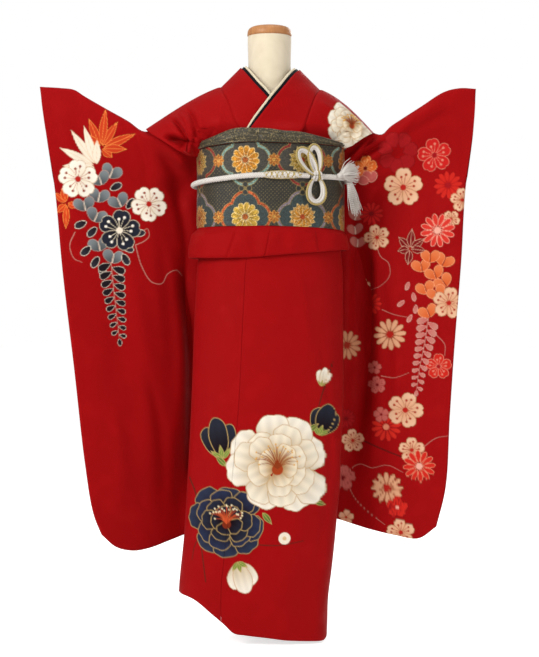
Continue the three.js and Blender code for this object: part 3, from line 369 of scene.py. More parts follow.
def sleeve_layers(sleeve):
    edges = {name: Route(sleeve[name]) for name in ("top", "bottom", "inner", "outer")}
    tables = [
        [(i / (len(rows) - 1), h) for i, h in enumerate(rows)] for rows in (sleeve["inner_half"], sleeve["outer_half"])
    ]
    corners = [np.array(sleeve[a][b], float) for a, b in (("top", 0), ("top", -1), ("bottom", 0), ("bottom", -1))]

    def middle(across, down):
        s, t = np.broadcast_arrays(np.clip(across, 0, 1), np.clip(down, 0, 1))
        a, b = s[..., None], t[..., None]
        p = edges["top"].share(s) * (1 - b) + edges["bottom"].share(s) * b
        p = p + edges["inner"].share(t) * (1 - a) + edges["outer"].share(t) * a
        shares = (1 - a) * (1 - b), a * (1 - b), (1 - a) * b, a * b
        return p - sum(corner * share for corner, share in zip(corners, shares))

    def layer(s, t, side):
        """side is -1 for the front layer and 1 for the back one."""
        s, t = np.broadcast_arrays(np.asarray(s, float), t)
        p = middle(s, t)
        inside = lambda w: np.clip(w, 0.002, 0.998)
        n = normal_of(middle, inside(s), inside(t), lambda q: point(0 * q[..., 0], 1, 0))
        turn = 2 * np.sqrt(np.clip(t * (1 - t), 0, 1))
        rounded = np.sqrt(1 - (1 - np.minimum(1, turn / 0.5)) ** 2)
        half = between(tables[0], t) * (1 - s) + between(tables[1], t) * s
        closed = np.sqrt(1 - (1 - np.minimum(1, (1 - s) / 0.02)) ** 2)
        slit = smooth((t - CUFF[0]) / 0.02) * smooth((CUFF[1] - t) / 0.02)
        lift = side * half * rounded * np.maximum(closed, slit)
        lift = lift + fold_height(SLEEVE_FOLDS, s, t) * rounded * (1 - 0.6 * s)
        return p + n * lift[..., None]

    return layer


# ---- meshes
def linear(hex_colour):
    """sRGB hex to linear numbers."""
    parts = [int(hex_colour[i : i + 2], 16) / 255 for i in (1, 3, 5)]
    return np.array([c / 12.92 if c <= 0.04045 else ((c + 0.055) / 1.055) ** 2.4 for c in parts])


def lengths_along(points, axis):
    """How far each point lies along its row or column, in millimetres."""
    step = np.linalg.norm(np.diff(points, axis=axis), axis=-1)
    first = np.zeros_like(np.take(step, [0], axis))
    return np.cumsum(np.concatenate([first, step], axis), axis)


def hemmed(points, wall, outward, sides="xy"):
    """The grid with its free edges turned in by the cloth's thickness."""
    if "x" in sides:
        n = grid_normals(points, outward)
        points = np.concatenate([(points - n * wall)[:1], points, (points - n * wall)[-1:]], 0)
    if "y" in sides:
        n = grid_normals(points, outward)
        points = np.concatenate([(points - n * wall)[:, :1], points, (points - n * wall)[:, -1:]], 1)
    return points


def grid_normals(points, outward):
    n = unit(np.cross(np.gradient(points, axis=0), np.gradient(points, axis=1)))
    return np.where(np.sum(n * outward(points), -1, keepdims=True) < 0, -n, n)


def painted(mesh, colours):
    mesh.color_attributes.new("paint", "FLOAT_COLOR", "POINT").data.foreach_set("color", colours)


def lattice_mesh(name, points, outward, weave=None, paint=None, merge=False):
    """A mesh on a grid of points (columns, rows, xyz). weave is its own length and width at each point, for the
    cloth's pattern; merge joins edges that meet and closes poles."""
    columns, rows = points.shape[:2]
    bm = bmesh.new()
    bmesh.ops.create_grid(bm, x_segments=columns - 1, y_segments=rows - 1, size=1.0)
    mesh = bpy.data.meshes.new(name)
    bm.to_mesh(mesh)
    bm.free()
    flat = np.zeros(len(mesh.vertices) * 3)
    mesh.vertices.foreach_get("co", flat)
    flat = flat.reshape(-1, 3)
    i = np.rint((flat[:, 0] + 1) / 2 * (columns - 1)).astype(int)
    j = np.rint((flat[:, 1] + 1) / 2 * (rows - 1)).astype(int)
    mesh.vertices.foreach_set("co", (points[i, j] * MM).ravel())
    if weave is None:
        weave = np.stack([lengths_along(points, 0), lengths_along(points, 1)], -1)
    corner = np.zeros(len(mesh.loops), int)
    mesh.loops.foreach_get("vertex_index", corner)
    mesh.uv_layers.new(name="weave").data.foreach_set("uv", (weave[i, j] * MM)[corner].ravel())
    if paint is not None:
        painted(mesh, paint[i, j].ravel())
    facing = np.cross(np.gradient(points, axis=0), np.gradient(points, axis=1))
    if np.sum(facing * outward(points)) < 0:
        mesh.flip_normals()
    if merge:
        bm = bmesh.new()
        bm.from_mesh(mesh)
        bmesh.ops.remove_doubles(bm, verts=bm.verts, dist=0.02 * MM)
        bmesh.ops.dissolve_degenerate(bm, edges=bm.edges, dist=0.01 * MM)
        bm.to_mesh(mesh)
        bm.free()
    mesh.shade_smooth()
    return mesh


def joined(name, meshes):
    """One mesh of several."""
    bm = bmesh.new()
    for mesh in meshes:
        bm.from_mesh(mesh)
        bpy.data.meshes.remove(mesh)
    whole = bpy.data.meshes.new(name)
    bm.to_mesh(whole)
    bm.free()
    whole.shade_smooth()
    return whole


def piece(name, mesh, look, replaces=(), wall=0.0, slot=None):
    """A finished piece in the scene: its mesh, its finish, what it stands for, and its cloth's wall in millimetres."""
    slot = slot or look
    label = f"{name}_{slot.split('_')[0]}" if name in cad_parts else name
    thing = bpy.data.objects.new(label, mesh)
    bpy.context.scene.collection.objects.link(thing)
    if "paint" not in mesh.color_attributes:
        painted(mesh, np.zeros(4 * len(mesh.vertices)))
    mesh.materials.clear()
    mesh.materials.append(finish(look))
    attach(thing, "root")
    if replaces:
        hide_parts(*replaces)
    if wall:
        shell = thing.modifiers.new("wall", "SOLIDIFY")
        shell.thickness, shell.offset = wall * MM, -1
    return thing


def cloth(name, points, outward, held, rests_on, look="silk_red", wall=0.0, cut=None, **mesh):
    """A piece of cloth on a grid of points; the size that it was cut to is worked out but not kept."""
    made = piece(name, lattice_mesh(name, points, outward, **mesh), look, [name], wall)
    cut or cut_of(points)
    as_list(rests_on)


def rings(line, side, top, radius, turns):
    """Rings of points round each point of a line, and the middle of each."""
    ring = np.cos(turns)[None, :, None] * side[:, None] + np.sin(turns)[None, :, None] * top[:, None]
    return line[:, None] + ring * radius[..., None], np.repeat(line[:, None], len(turns), 1)


def tube_mesh(name, path, radii, sides=10, up=(0, 0, 1)):
    """A closed tube along points; radii is one number, or one for each point."""
    path = np.asarray(path, float)
    radii = np.concatenate([[0], np.broadcast_to(np.asarray(radii, float), len(path)), [0]])
    along = unit(np.gradient(path, axis=0))
    side = unit(np.cross(along, np.broadcast_to(np.asarray(up, float), along.shape)))
    path, side, top = (np.concatenate([a[:1], a, a[-1:]]) for a in (path, side, np.cross(side, along)))
    points, middle = rings(path, side, top, radii[:, None], np.linspace(0, 2 * np.pi, sides + 1))
    return lattice_mesh(name, points, lambda p: p - middle, merge=True)


# ---- dye on cloth
SOFT = 1.5  # millimetres over which one colour gives way to the next


class Dye:
    """Colour laid on cloth: linear rgb, and how far it covers the ground."""

    def __init__(self, x, y):
        self.x, self.y = x, y
        self.rgba = np.zeros(x.shape + (4,))

    def near(self, centre, reach):
        return np.nonzero((np.abs(self.x - centre[0]) < reach) & (np.abs(self.y - centre[1]) < reach))

    def lay(self, where, cover, colour):
        cover = np.clip(cover, 0, 1)
        old = self.rgba[where]
        kept = old[:, 3] * (1 - cover)
        total = cover + kept
        rgb = (
            np.broadcast_to(colour, old[:, :3].shape) * cover[:, None] + old[:, :3] * kept[:, None]
        ) / np.maximum(total, 1e-6)[:, None]
        self.rgba[where] = np.concatenate([rgb, total[:, None]], 1)


def inside(d):
    return 0.5 - d / SOFT


def on_line(d, weight):
    return np.minimum(1, 0.5 + (weight / 2 - np.abs(d)) / SOFT) * min(1, 0.45 + weight / SOFT)


def dot(dye, centre, radius, colour):
    where = dye.near(centre, radius + 2)
    d = np.hypot(dye.x[where] - centre[0], dye.y[where] - centre[1]) - radius
    dye.lay(where, inside(d), linear(colour))


def lengthwise(dye, base, turn, length, reach):
    """The cloth near a petal or leaf: which points, and how far along it (share) and across it (mm) they lie."""
    c, s = math.cos(turn), math.sin(turn)
    where = dye.near((base[0] + c * length / 2, base[1] + s * length / 2), reach)
    dx, dy = dye.x[where] - base[0], dye.y[where] - base[1]
    return where, (dx * c + dy * s) / length, dy * c - dx * s


def petal(
    dye, base, turn, length, width, colour, tip=None, line=None, weight=1.6, late=1.2, notch=0.0, ruffle=0.0, waves=6,
    phase=0.0, veins=0.0
):
    """A rounded petal from its base outwards. late moves its widest part towards the tip."""
    where, u, v = lengthwise(dye, base, turn, length, max(length, width) * 0.72 + 2)
    v = v / (width / 2)
    a = 2 * np.clip(u, 1e-4, None) ** late - 1
    q, angle = np.hypot(a, v), np.arctan2(v, a)
    slope = np.hypot(
        2 * a * late * np.clip(u, 1e-3, None) ** (late - 1) / length, v / (width / 2)
    ) / np.maximum(q, 1e-3)
    edge = 1 + ruffle * np.sin(waves * angle + phase) - notch * np.exp(-((angle / 0.22) ** 2))
    d = np.where(u <= 0, 9, (q / edge - 1) / np.maximum(slope, 1e-3))
    shade = mix(linear(colour), linear(tip or colour), smooth(u * 1.15 - 0.1)[:, None])
    if veins:
        shade = shade * (1 - veins * (0.5 + 0.5 * np.sin(v * 9 + phase)) * (1 - 0.6 * u))[:, None]
    dye.lay(where, inside(d), np.clip(shade, 0, 1))
    if line:
        dye.lay(where, on_line(d + weight / 2, weight), linear(line))


def leaf(dye, base, turn, length, width, colour, line=None, weight=1.2, tip=None):
    """A pointed leaf with its outline and middle vein."""
    where, u, v = lengthwise(dye, base, turn, length, length * 0.6 + 3)
    d = np.abs(v) - width / 2 * np.sin(np.pi * np.clip(u, 0, 1) ** 0.85)
    within = (u > 0) & (u < 1)
    dye.lay(
        where, inside(np.where((u < 0) | (u > 1), 9, d)),
        mix(linear(colour), linear(tip or colour), np.clip(u, 0, 1)[:, None])
    )
    if line:
        dye.lay(where, np.where(within, on_line(v, weight) * 0.9, 0), linear(line))
        dye.lay(where, np.where(within, on_line(np.where(within, d, 9) + weight / 2, weight), 0), linear(line))


def stem(dye, points, weight, colour, taper=1.0, cover=1.0):
    """A drawn line through points, its weight falling to taper times at its end."""
    path = Route([(x, y, 0) for x, y in points]).at(np.linspace(0, 1, 14 * len(points)))[:, :2]
    middle = (path.min(0) + path.max(0)) / 2
    where = dye.near(middle, (path.max(0) - path.min(0)).max() / 2 + weight + 2)
    p = np.stack([dye.x[where], dye.y[where]], -1)
    best, share = np.full(len(p), 1e3), np.zeros(len(p))
    for k, (a, b) in enumerate(zip(path[:-1], path[1:])):
        ab = b - a
        h = np.clip((p - a) @ ab / max(ab @ ab, 1e-9), 0, 1)
        d = np.linalg.norm(p - a - h[:, None] * ab, axis=1)
        share = np.where(d < best, (k + h) / (len(path) - 1), share)
        best = np.minimum(best, d)
    dye.lay(where, cover * np.clip(0.5 + (weight * mix(1, taper, share) / 2 - best) / SOFT, 0, 1), linear(colour))


def around(centre, radius, turn):
    return (centre[0] + radius * math.cos(turn), centre[1] + radius * math.sin(turn))


def plum(dye, centre, r, colour, line, heart, rods=None, turn=0.3, tip=None, speck=None, wide=0.8):
    """A five-petalled plum flower with notched petals and a spray of stamens."""
    for k in range(5):
        a = turn + k * 2 * math.pi / 5
        petal(dye, around(centre, r * 0.04, a), a, r * 0.97, r * wide, colour, tip, line, 1.4, 1.5, 0.2)
    for k in range(10 if rods else 0):
        a = turn + (k // 2) * 2 * math.pi / 5 + (0.2 if k % 2 else -0.2)
        reach = r * (0.66 if k % 3 else 0.54)
        stem(
            dye, [around(centre, r * 0.12, a), around(centre, reach * 0.6, a + 0.02), around(centre, reach, a)], 1.0,
            rods
        )
        dot(dye, around(centre, reach, a), r * 0.05 + 0.8, speck or rods)
    dot(dye, centre, r * 0.15, heart)


def daisy(dye, centre, r, colour, line, heart, turn=0.1, tip=None, wide=0.62):
    """A chrysanthemum of twelve long petals round a button."""
    for k in range(12):
        a = turn + k * 2 * math.pi / 12
        petal(dye, around(centre, r * 0.2, a), a, r * 0.8, 2 * math.pi * r * wide / 12, colour, tip, line, 1.3, 1.6)
    dot(dye, centre, r * 0.2, heart)


def floret(dye, centre, r, turn, colour, line, tip=None, crease="#E6D6C0"):
    """A wisteria floret: two rounded wings that meet in a pale crease."""
    for a in (turn + 0.58, turn - 0.58):
        petal(dye, around(centre, -r * 0.85, turn), a, r * 1.95, r * 1.3, colour, tip, line, 1.1, 1.4)
    stem(
        dye, [around(centre, -r * 0.75, turn), around(centre, -r * 0.1, turn + 0.4), around(centre, r * 0.4, turn)],
        2.6, crease, 0.5
    )


def raceme(dye, points, pairs, first, last, colour, line, tip=None):
    """A hanging spray: pairs of buds along a stem, smaller to its end."""
    route = Route([(x, y, 0) for x, y in points])
    for k in range(pairs):
        t = (k + 0.3) / pairs
        p, q = route.share(t)[:2], route.share(min(1, t + 0.02))[:2]
        way = math.atan2(*(q - p)[::-1])
        size = mix(first, last, t)
        for side in (-1, 1):
            root = route.share(min(1, max(0, t + 0.24 / pairs * side)))[:2]
            petal(dye, root, way + side * 1.15, size * 1.3, size * 0.74, colour, tip, line, 0.8, 1.8)
    petal(dye, route.share(1.0)[:2], way, last * 1.4, last * 0.8, colour, tip, line, 0.8)
    stem(dye, points, 2.4, ROSE, 0.5)


def spray(dye, foot, tips, width, colour, line=None, tip=None):
    """Leaves that fan out from one foot to their tips."""
    for end in tips:
        dx, dy = end[0] - foot[0], end[1] - foot[1]
        leaf(
            dye, (foot[0] + dx * 0.08, foot[1] + dy * 0.08), math.atan2(dy, dx), math.hypot(dx, dy) * 0.92, width,
            colour, line, 1.1, tip
        )


def peony(dye, centre, r, rings, line, weight, stamens=None, squash=1.0, turn=0.0, seed=1):
    """A full peony by rule: rings of ruffled petals, each ring (share of r, petals, length, width, base, tip)."""
    rng = np.random.default_rng(seed)
    for share, count, long, wide, base, tip in rings:
        for k in range(count):
            a = turn + share * 5 + (k + 0.16 * rng.standard_normal()) * 2 * math.pi / count
            root = (centre[0] + r * share * math.cos(a), centre[1] + squash * r * share * math.sin(a))
            stretch = math.hypot(math.cos(a), squash * math.sin(a)) * (1 + 0.07 * rng.standard_normal())
            petal(
                dye, root, a, r * long * stretch, r * wide, base, tip, line, weight, 1.35, 0.05, 0.035,
                int(rng.integers(5, 9)), float(rng.uniform(0, 6)), 0.22
            )
    if stamens:
        colour, bead, heart, fan = stamens
        dot(dye, around(centre, r * 0.1, -math.pi / 2), r * 0.11, heart)
        for k in range(22):
            a = math.pi / 2 + (k - 10.5) * fan / 11 + 0.05 * rng.standard_normal()
            reach = r * (0.36 + 0.1 * (k % 3) / 2 + 0.03 * rng.standard_normal())
            bend = 0.3 * (k - 10.5) / 11
            foot = around(centre, r * 0.08, -math.pi / 2)
            middle, end = around(foot, reach * 0.55, a - bend), around(foot, reach, a)
            stem(dye, [foot, middle, end], 1.7, colour, 0.6)
            dot(dye, end, 2.0, bead)


def bud(dye, centre, wide, high, colours, line, turn=math.pi / 2):
    """A closed bud in its green cup."""
    base = around(centre, high / 2, turn + math.pi)
    for lean, size in ((0.42, 0.85), (-0.42, 0.85), (0, 1)):
        petal(
            dye, base, turn + lean, high * size, wide * (0.62 if lean else 0.66), colours[0], colours[1], line, 1.4,
            1.15, 0, 0.02, 5, lean * 9, 0.15
        )
    for lean in (-1.0, 0.0, 1.0):
        leaf(
            dye, around(base, high * 0.06, turn + math.pi), turn + lean * 0.8, high * 0.36, wide * 0.16, LEAF, GOLD, 1.0
        )


def drawing(square):
    """Two readers of the drawing grid, square millimetres a step: one for a spot, one for a row of spots."""
    at = lambda x, y: ((x - 269) * square, 740 - (y - 328) * square)
    return at, lambda spots: [at(*spot) for spot in spots]


CREAM, NAVY, GOLD, PEACH, ORANGE, ROSE = "#F2E6D0", "#1E2A36", "#C9A86A", "#DDA57F", "#E06A2B", "#C78274"
MAROON, BLOOD, INK, SHELL, TAN, LEAF = "#7A0F14", "#B4231C", "#0B0F16", "#E8BC98", "#C9A27A", "#6F8F3A"
SLEEVE_SQUARE, SKIRT_SQUARE, SHOULDER_SQUARE = 2.41, 2.333, 2.38


def dye_right_sleeve(dye):
    k = SLEEVE_SQUARE
    at, row = drawing(k)
    spray(
        dye, at(101, 148), row(((118, 122), (136, 134), (106, 109), (89, 119), (112, 157), (84, 134), (127, 149))), 20,
        "#CC4420", "#EE9044", "#C8381C"
    )
    spray(
        dye, at(96, 166), row(((71, 130), (60, 148), (84, 126), (63, 166), (97, 140), (73, 176))), 20, CREAM, "#E9C9A4"
    )
    spray(
        dye, at(67, 203), row(((55, 193), (57, 213), (66, 229), (78, 207), (62, 188))), 17, "#D84A20", "#EE9044",
        "#C8381C"
    )
    for x, y, turn in (
        (111, 171, 1.2), (99, 178, 1.9), (98.5, 195, 1.4), (117.5, 200, 2.0), (84, 204, 1.8), (96, 215, 1.2),
        (98, 244, 1.8), (112, 256, 1.4)
    ):
        floret(dye, at(x, y), 7.8 * k, turn, "#4E5658", "#B99A8C", "#7E8688")
    for x, y, turn in (
        (114.5, 186, 0.5), (129, 203, 0.9), (81, 224, 3.6), (92, 231, 4.0), (86, 250, 3.9), (95, 261, 4.2),
        (102, 268, 4.5), (124, 258, 5.2), (126, 247, 5.8), (137, 232, 0.1)
    ):
        petal(dye, around(at(x, y), -6 * k, turn), turn, 13 * k, 7.5 * k, "#14181E", "#2A3038", CREAM, 1.2)
    for path in (
        ((134, 244), (140, 265), (150, 281), (160, 282.5), (166, 272.5), (175, 269), (180, 274)),
        ((134, 244), (142.5, 240), (147.5, 235), (146, 227.5), (142.5, 229)),
        ((75, 232), (70, 245), (74, 258), (82, 262))
    ):
        stem(dye, row(path), 2.6, ROSE, 0.6)
    raceme(dye, row(((110, 262), (112, 285), (115, 312), (118, 338))), 9, 11 * k, 5.5 * k, "#14181E", CREAM)
    plum(dye, at(78, 179), 19.5 * k, CREAM, TAN, BLOOD, "#B5522F", 0.35, "#FBF3E2", "#8E3A1C", 0.88)
    plum(dye, at(147.5, 202.5), 18 * k, CREAM, TAN, BLOOD, "#B5522F", 0.9, "#FBF3E2", "#8E3A1C", 0.88)
    plum(dye, at(118.3, 229.5), 21 * k, "#10161E", "#D9CBB0", CREAM, "#E9DCC0", 0.15, NAVY, "#F6EFE0", 0.84)


# colour, line and heart
PEACH_PLUM, PEACH_DAISY = (PEACH, "#B8784E", BLOOD), (PEACH, "#A8623E", BLOOD)
ROSE_PLUM, ROSE_FLORET = ("#C4645A", "#A84840", MAROON), ("#B4685C", "#A85C54", "")
# kind, place and size on the drawing grid, (colour, line, heart), turn
LEFT_SLEEVE_FLOWERS = (
    ("faint", 397, 152, 17, ("#A0161A", "#8A1014", "#8A1014"), 0.2),
    ("plum", 433.8, 155, 17, ("#C8201E", "#DC806A", "#A0141A"), 0.5),
    ("daisy", 447, 185, 14, ("#CC261C", "#B81A18", "#A0141A"), 0.1),
    ("plum", 461, 200, 12, PEACH_PLUM, 0.4),
    ("plum", 450, 219, 9, PEACH_PLUM, 0.9),
    ("floret", 357, 213, 6, ROSE_FLORET, 1.3),
    ("floret", 356, 227, 6, ROSE_FLORET, 1.7),
    ("floret", 359, 240, 6, ROSE_FLORET, 1.5),
    ("plum", 365, 167.5, 12, (ORANGE, "#F0A868", MAROON), 0.3),
    ("petals", 369, 181, 9, ("#C9605A", "#E9A890", BLOOD), 1.0),
    ("daisy", 372, 212, 12, ("#B81C1A", "#8A1014", MAROON), 0.3),
    ("daisy", 437, 230, 17, ("#D8362C", "#F0A890", "#F0B09A"), 0.2),
    ("plum", 403.3, 186.3, 19.5, PEACH_PLUM, 0.3),
    ("plum", 377.5, 236, 13, PEACH_PLUM, 0.6),
    ("plum", 448, 302.5, 16, PEACH_PLUM, 0.15),
    ("daisy", 371, 303, 12, ("#C8241C", "#9A1216", "#E08A6A"), 0.0),
    ("plum", 365, 284, 7, PEACH_PLUM, 0.2),
    ("daisy", 348, 345, 15, ("#C98D68", "#9A5A3E", "#9A2A1C"), 0.2),
    ("daisy", 390.5, 334, 16, PEACH_DAISY, 0.1),
    ("plum", 375.5, 367.5, 7, ROSE_PLUM, 0.2),
    ("plum", 378, 385, 9, ROSE_PLUM, 0.5),
    ("plum", 438, 366, 13, ("#CC261C", "#DC806A", "#A0141A"), 0.3),
    ("daisy", 386.8, 427.5, 15, ("#CE2A1E", "#9A1216", "#E08A6A"), 0.2),
    ("plum", 382, 415, 8, ROSE_PLUM, 0.5),
    ("plum", 405.5, 410, 18, PEACH_PLUM, 0.0),
    ("daisy", 347, 420, 10, ("#A8161A", "#8A1014", MAROON), 0.2),
    ("plum", 354, 442.5, 12, PEACH_PLUM, 0.4),
    ("plum", 411.8, 450, 13, PEACH_PLUM, 0.35),
    ("daisy", 419, 466, 16, ("#D0281E", "#E08A6A", "#F0B09A"), 0.1),
    ("plum", 344, 480, 13, ROSE_PLUM, 0.2),
    ("daisy", 387.5, 489, 16, PEACH_DAISY, 0.05),
    ("plum", 397.5, 508, 11, ("#D0281E", "#9A1216", "#F0B09A"), 0.3),
    ("plum", 347, 520, 8, PEACH_PLUM, 0.2),
    ("plum", 401, 533, 14, PEACH_PLUM, 0.45),
)
LEFT_SLEEVE_TENDRILS = (
    ((376, 240), (381, 255), (389, 262), (390, 275), (381, 285), (371, 289)),
    ((383, 309), (395, 314), (412, 317.5)),
    ((382, 376), (395, 377.5), (409, 372.5)),
    ((435.5, 334), (444, 344), (444, 355)),
    ((424, 446), (435.5, 437.5), (448, 435)),
    ((345.5, 476), (360.5, 466), (373, 469), (388, 466), (403, 472.5)),
    ((347, 482.5), (355.5, 500), (370.5, 515), (385.5, 526)),
)


def dye_left_sleeve(dye):
    k = SLEEVE_SQUARE
    at, row = drawing(k)
    for path in LEFT_SLEEVE_TENDRILS:
        stem(dye, row(path), 2.2, ROSE, 0.6, 0.85)
    stem(dye, row(((365.5, 442.5), (383, 450), (403, 457.5))), 3.0, "#5A1512")
    for x, y, turn in (
        (421, 265, 3.4), (443.8, 260, 0.3), (434, 272.5, 4.2), (430, 256, 2.2), (442.5, 281, 5.4), (425, 287.5, 3.8),
        (436, 292, 4.8), (427.5, 311, 4.3)
    ):
        floret(dye, at(x, y), 7.2 * k, turn * 0.2 + 1.1, "#D8622E", "#F0A074", "#E07A48", "#8A1A14")
    spray(
        dye, at(410, 248), row(((399, 236), (412, 228), (424, 238), (398, 250), (425, 250), (408, 264))), 19, MAROON,
        "#D9A88C"
    )
    for x, y, turn in ((409, 281, 4.4), (413, 292, 4.9), (416, 304, 4.6), (412, 314, 4.2), (405, 300, 3.8)):
        petal(dye, at(x, y), turn, 9 * k, 4.5 * k, "#C46A62", ROSE, "#E0A294", 1.0)
    for kind, x, y, r, (colour, line, heart), turn in LEFT_SLEEVE_FLOWERS:
        centre = at(x, y)
        if kind == "plum":
            rods = "#A8341C" if colour == PEACH else line
            plum(
                dye, centre, r * k, colour, line, heart, rods if r > 8 else None, turn,
                SHELL if colour == PEACH else None
            )
        elif kind == "daisy":
            daisy(dye, centre, r * k, colour, line, heart, turn)
        elif kind == "floret":
            floret(dye, centre, r * k, turn, colour, line)
        elif kind == "petals":
            for j in range(3):
                petal(dye, centre, turn + j * 0.9, r * 1.3 * k, r * k, colour, None, line, 1.2)
        else:
            for j in range(7):
                a = turn + j * 2 * math.pi / 7
                petal(
                    dye, around(centre, r * 0.3 * k, a), a, r * 0.9 * k, r * 0.8 * k, colour, None, line, 1.4, 1.4,
                    0.05, 0.04, 6, j
                )
    raceme(dye, row(((428, 318), (424, 345), (419, 370), (416.5, 390))), 10, 9 * k, 4.5 * k, "#C46A62", "#E0A294", ROSE)


CREAM_RINGS = (
    (0.36, 8, 0.66, 0.66, "#D9C6A6", "#F7EEDC"), (0.26, 7, 0.58, 0.58, "#CDB592", "#F4E9D2"),
    (0.13, 6, 0.5, 0.5, "#C4A67C", "#F2E6CE"), (0.05, 5, 0.36, 0.42, "#B98F5C", "#EEDFC2")
)
NAVY_RINGS = (
    (0.36, 8, 0.66, 0.66, INK, "#26344A"), (0.26, 7, 0.58, 0.58, "#090C12", "#22304A"),
    (0.13, 6, 0.5, 0.5, "#080A10", "#1C2838"), (0.05, 5, 0.36, 0.42, "#07090E", "#182230")
)


def dye_skirt(dye):
    k = SKIRT_SQUARE
    at, row = drawing(k)
    for path, weight, taper in (
        (((188, 479), (195, 496), (199, 535), (205, 582)), 3.2, 0.7),
        (((199, 535), (193, 549), (191, 561)), 2.2, 0.6),
        (((333, 362), (321, 397), (318, 409)), 2.6, 0.8),
        (((254, 544), (276, 545), (303, 541)), 2.4, 0.7),
    ):
        stem(dye, row(path), weight, "#5A2418", taper)
    for x, y, wide, high, colours, line, turn in (
        (325, 419, 30, 31, (INK, NAVY), GOLD, 1.2),
        (218, 437, 30, 40, (INK, NAVY), GOLD, 1.75),
        (242, 578, 29, 31, ("#D9C6A6", "#F7EEDC"), TAN, -1.3),
        (323.5, 376, 13, 18, ("#E5D3B4", "#F7EEDC"), TAN, 1.3),
    ):
        bud(dye, at(x, y), wide * k, high * k, colours, line, turn=turn)
    dot(dye, at(284, 538), 6 * k, CREAM)
    dot(dye, at(284, 538), 2 * k, "#D9B98C")
    peony(dye, at(226, 520), 40 * k, NAVY_RINGS, "#B89A62", 1.5, ("#C8502A", "#F0DFB8", "#7A2A14", 1.25), 0.92, 0.5, 7)
    for x, y, turn in ((262, 512, -0.9), (312, 500, -0.4), (226, 466, 2.4), (306, 432, 0.6)):
        leaf(dye, at(x, y), turn, 15 * k, 6 * k, LEAF, GOLD, 1.1, "#3E5A24")
    peony(dye, at(277, 464), 51 * k, CREAM_RINGS, "#C29A66", 1.4, ("#8A3A18", "#D8A24A", "#A4401C", 1.35), 0.97, 0.9, 4)


def dye_shoulder(dye):
    k = SHOULDER_SQUARE
    at, _ = drawing(k)
    bud(dye, at(362, 144), 13 * k, 12 * k, (INK, NAVY), GOLD, turn=-0.5)
    peony(dye, at(351, 124), 25 * k, CREAM_RINGS, "#C29A66", 1.2, ("#8A3A18", "#D8A24A", "#A4401C", 1.2), 0.95, 0.3, 11)


# ---- the obi's weave
REPEAT = (135.0, 133.0)  # millimetres from one medallion to the next, round the body and down it
MEDALLION, LATTICE = 60.0, 9  # half a medallion's width, and the step of the ground's small lozenges
OBI_COLUMNS = (("#7FA396", "#C25A32"), ("#9C221E", "#857680"))  # the frames' colours, above and below


def brocade_weave(arc, height):
    """Four-lobed medallions with flowers, in linear rgb, and the share of gold thread. arc 0 is the middle of a
    column, height 0 the middle of its upper medallion."""
    dye = Dye(arc, height)
    everywhere = np.nonzero(np.ones_like(arc, bool))
    lattice = np.sin(arc * 2 * np.pi / LATTICE) * np.sin(height * 2 * np.pi / LATTICE)
    dye.lay(everywhere, np.ones(arc.size), linear("#29251A"))
    dye.lay(everywhere, (smooth((lattice - 0.45) * 4)).ravel() * 0.75, linear("#75653A"))
    first_column, first_row = (int(np.floor(f.min() / r)) - 1 for f, r in ((arc, REPEAT[0]), (height, REPEAT[1])))
    columns = range(first_column, int(np.ceil(arc.max() / REPEAT[0])) + 2)
    rows = range(first_row, int(np.ceil(height.max() / REPEAT[1])) + 2)
    for i in columns:
        for j in rows:
            centre = (i * REPEAT[0], j * REPEAT[1])
            where = dye.near(centre, MEDALLION + 12)
            if not len(where[0]):
                continue
            dx, dy = dye.x[where] - centre[0], dye.y[where] - centre[1]
            lobes = [np.hypot(dx - ox, dy - oy) - 36 for ox, oy in ((26, 0), (-26, 0), (0, 26), (0, -26))]
            d = np.minimum.reduce(lobes)
            ring = linear(OBI_COLUMNS[i % 2][0 if j % 2 == 0 else 1])
            ground = linear("#3B362C" if j % 2 == 0 else "#2B3836")
            speck = smooth(np.sin(dx * 1.3) * np.sin(dy * 1.3) * 3)[:, None]
            dye.lay(where, inside(d + 1), mix(ground, ground * 1.9, speck * 0.5))
            dye.lay(where, on_line(d + 3.4, 5.6), ring)
            dye.lay(where, on_line(d + 0.2, 1.0), linear("#A9904E"))
            dye.lay(where, on_line(d + 6.8, 0.9), linear("#A9904E"))
            flower = ("#B9701C", "#D8952E") if (i + j) % 2 == 0 else ("#A8822A", "#CFA844")
            if i % 2 == 0:
                daisy(dye, centre, 34, flower[0], "#E6CF96", "#A8561A", 0.13, flower[1], 0.82)
            else:
                for turn, long in ((0.39, 34), (0, 31)):
                    for q in range(8):
                        a = turn + q * math.pi / 4
                        leaf(dye, centre, a, long, 18, flower[0], "#E6CF96", 1.2, flower[1])
                dot(dye, centre, 6, "#B8481E")
    for i in columns:
        for j in rows:
            for centre, petals, size, wide, colours in (
                (((i + 0.5) * REPEAT[0], j * REPEAT[1]), 8, 15, 7.5, ("#B8682A", "#D2A050")),
                ((i * REPEAT[0], (j + 0.5) * REPEAT[1]), 4, 16, 13.6, ("#20231F", "#9A8144")),
            ):
                for q in range(petals):
                    a = q * 2 * math.pi / petals
                    petal(dye, around(centre, 2, a), a, size - 2, wide, colours[0], None, colours[1], 1.2)
                dot(dye, centre, 3.2, colours[1])
    rgb = dye.rgba
    warm = np.clip((rgb[..., 0] - rgb[..., 2]) * 2.2, 0, 1)
    rgb[..., 3] = np.where(rgb[..., 0] > 0.35, warm, warm * 0.35)
    return rgb


# ---- materials
def node(tree, kind, inputs=None, output=0, **settings):
    """Adds a shader node with its settings and gives one output; inputs are numbers or sockets to link."""
    made = tree.nodes.new("ShaderNode" + kind)
    for name, value in settings.items():
        setattr(made, name, value)
    for name, value in (inputs or {}).items():
        if isinstance(value, bpy.types.NodeSocket):
            tree.links.new(value, made.inputs[name])
        else:
            made.inputs[name].default_value = value
    return made.outputs[output]


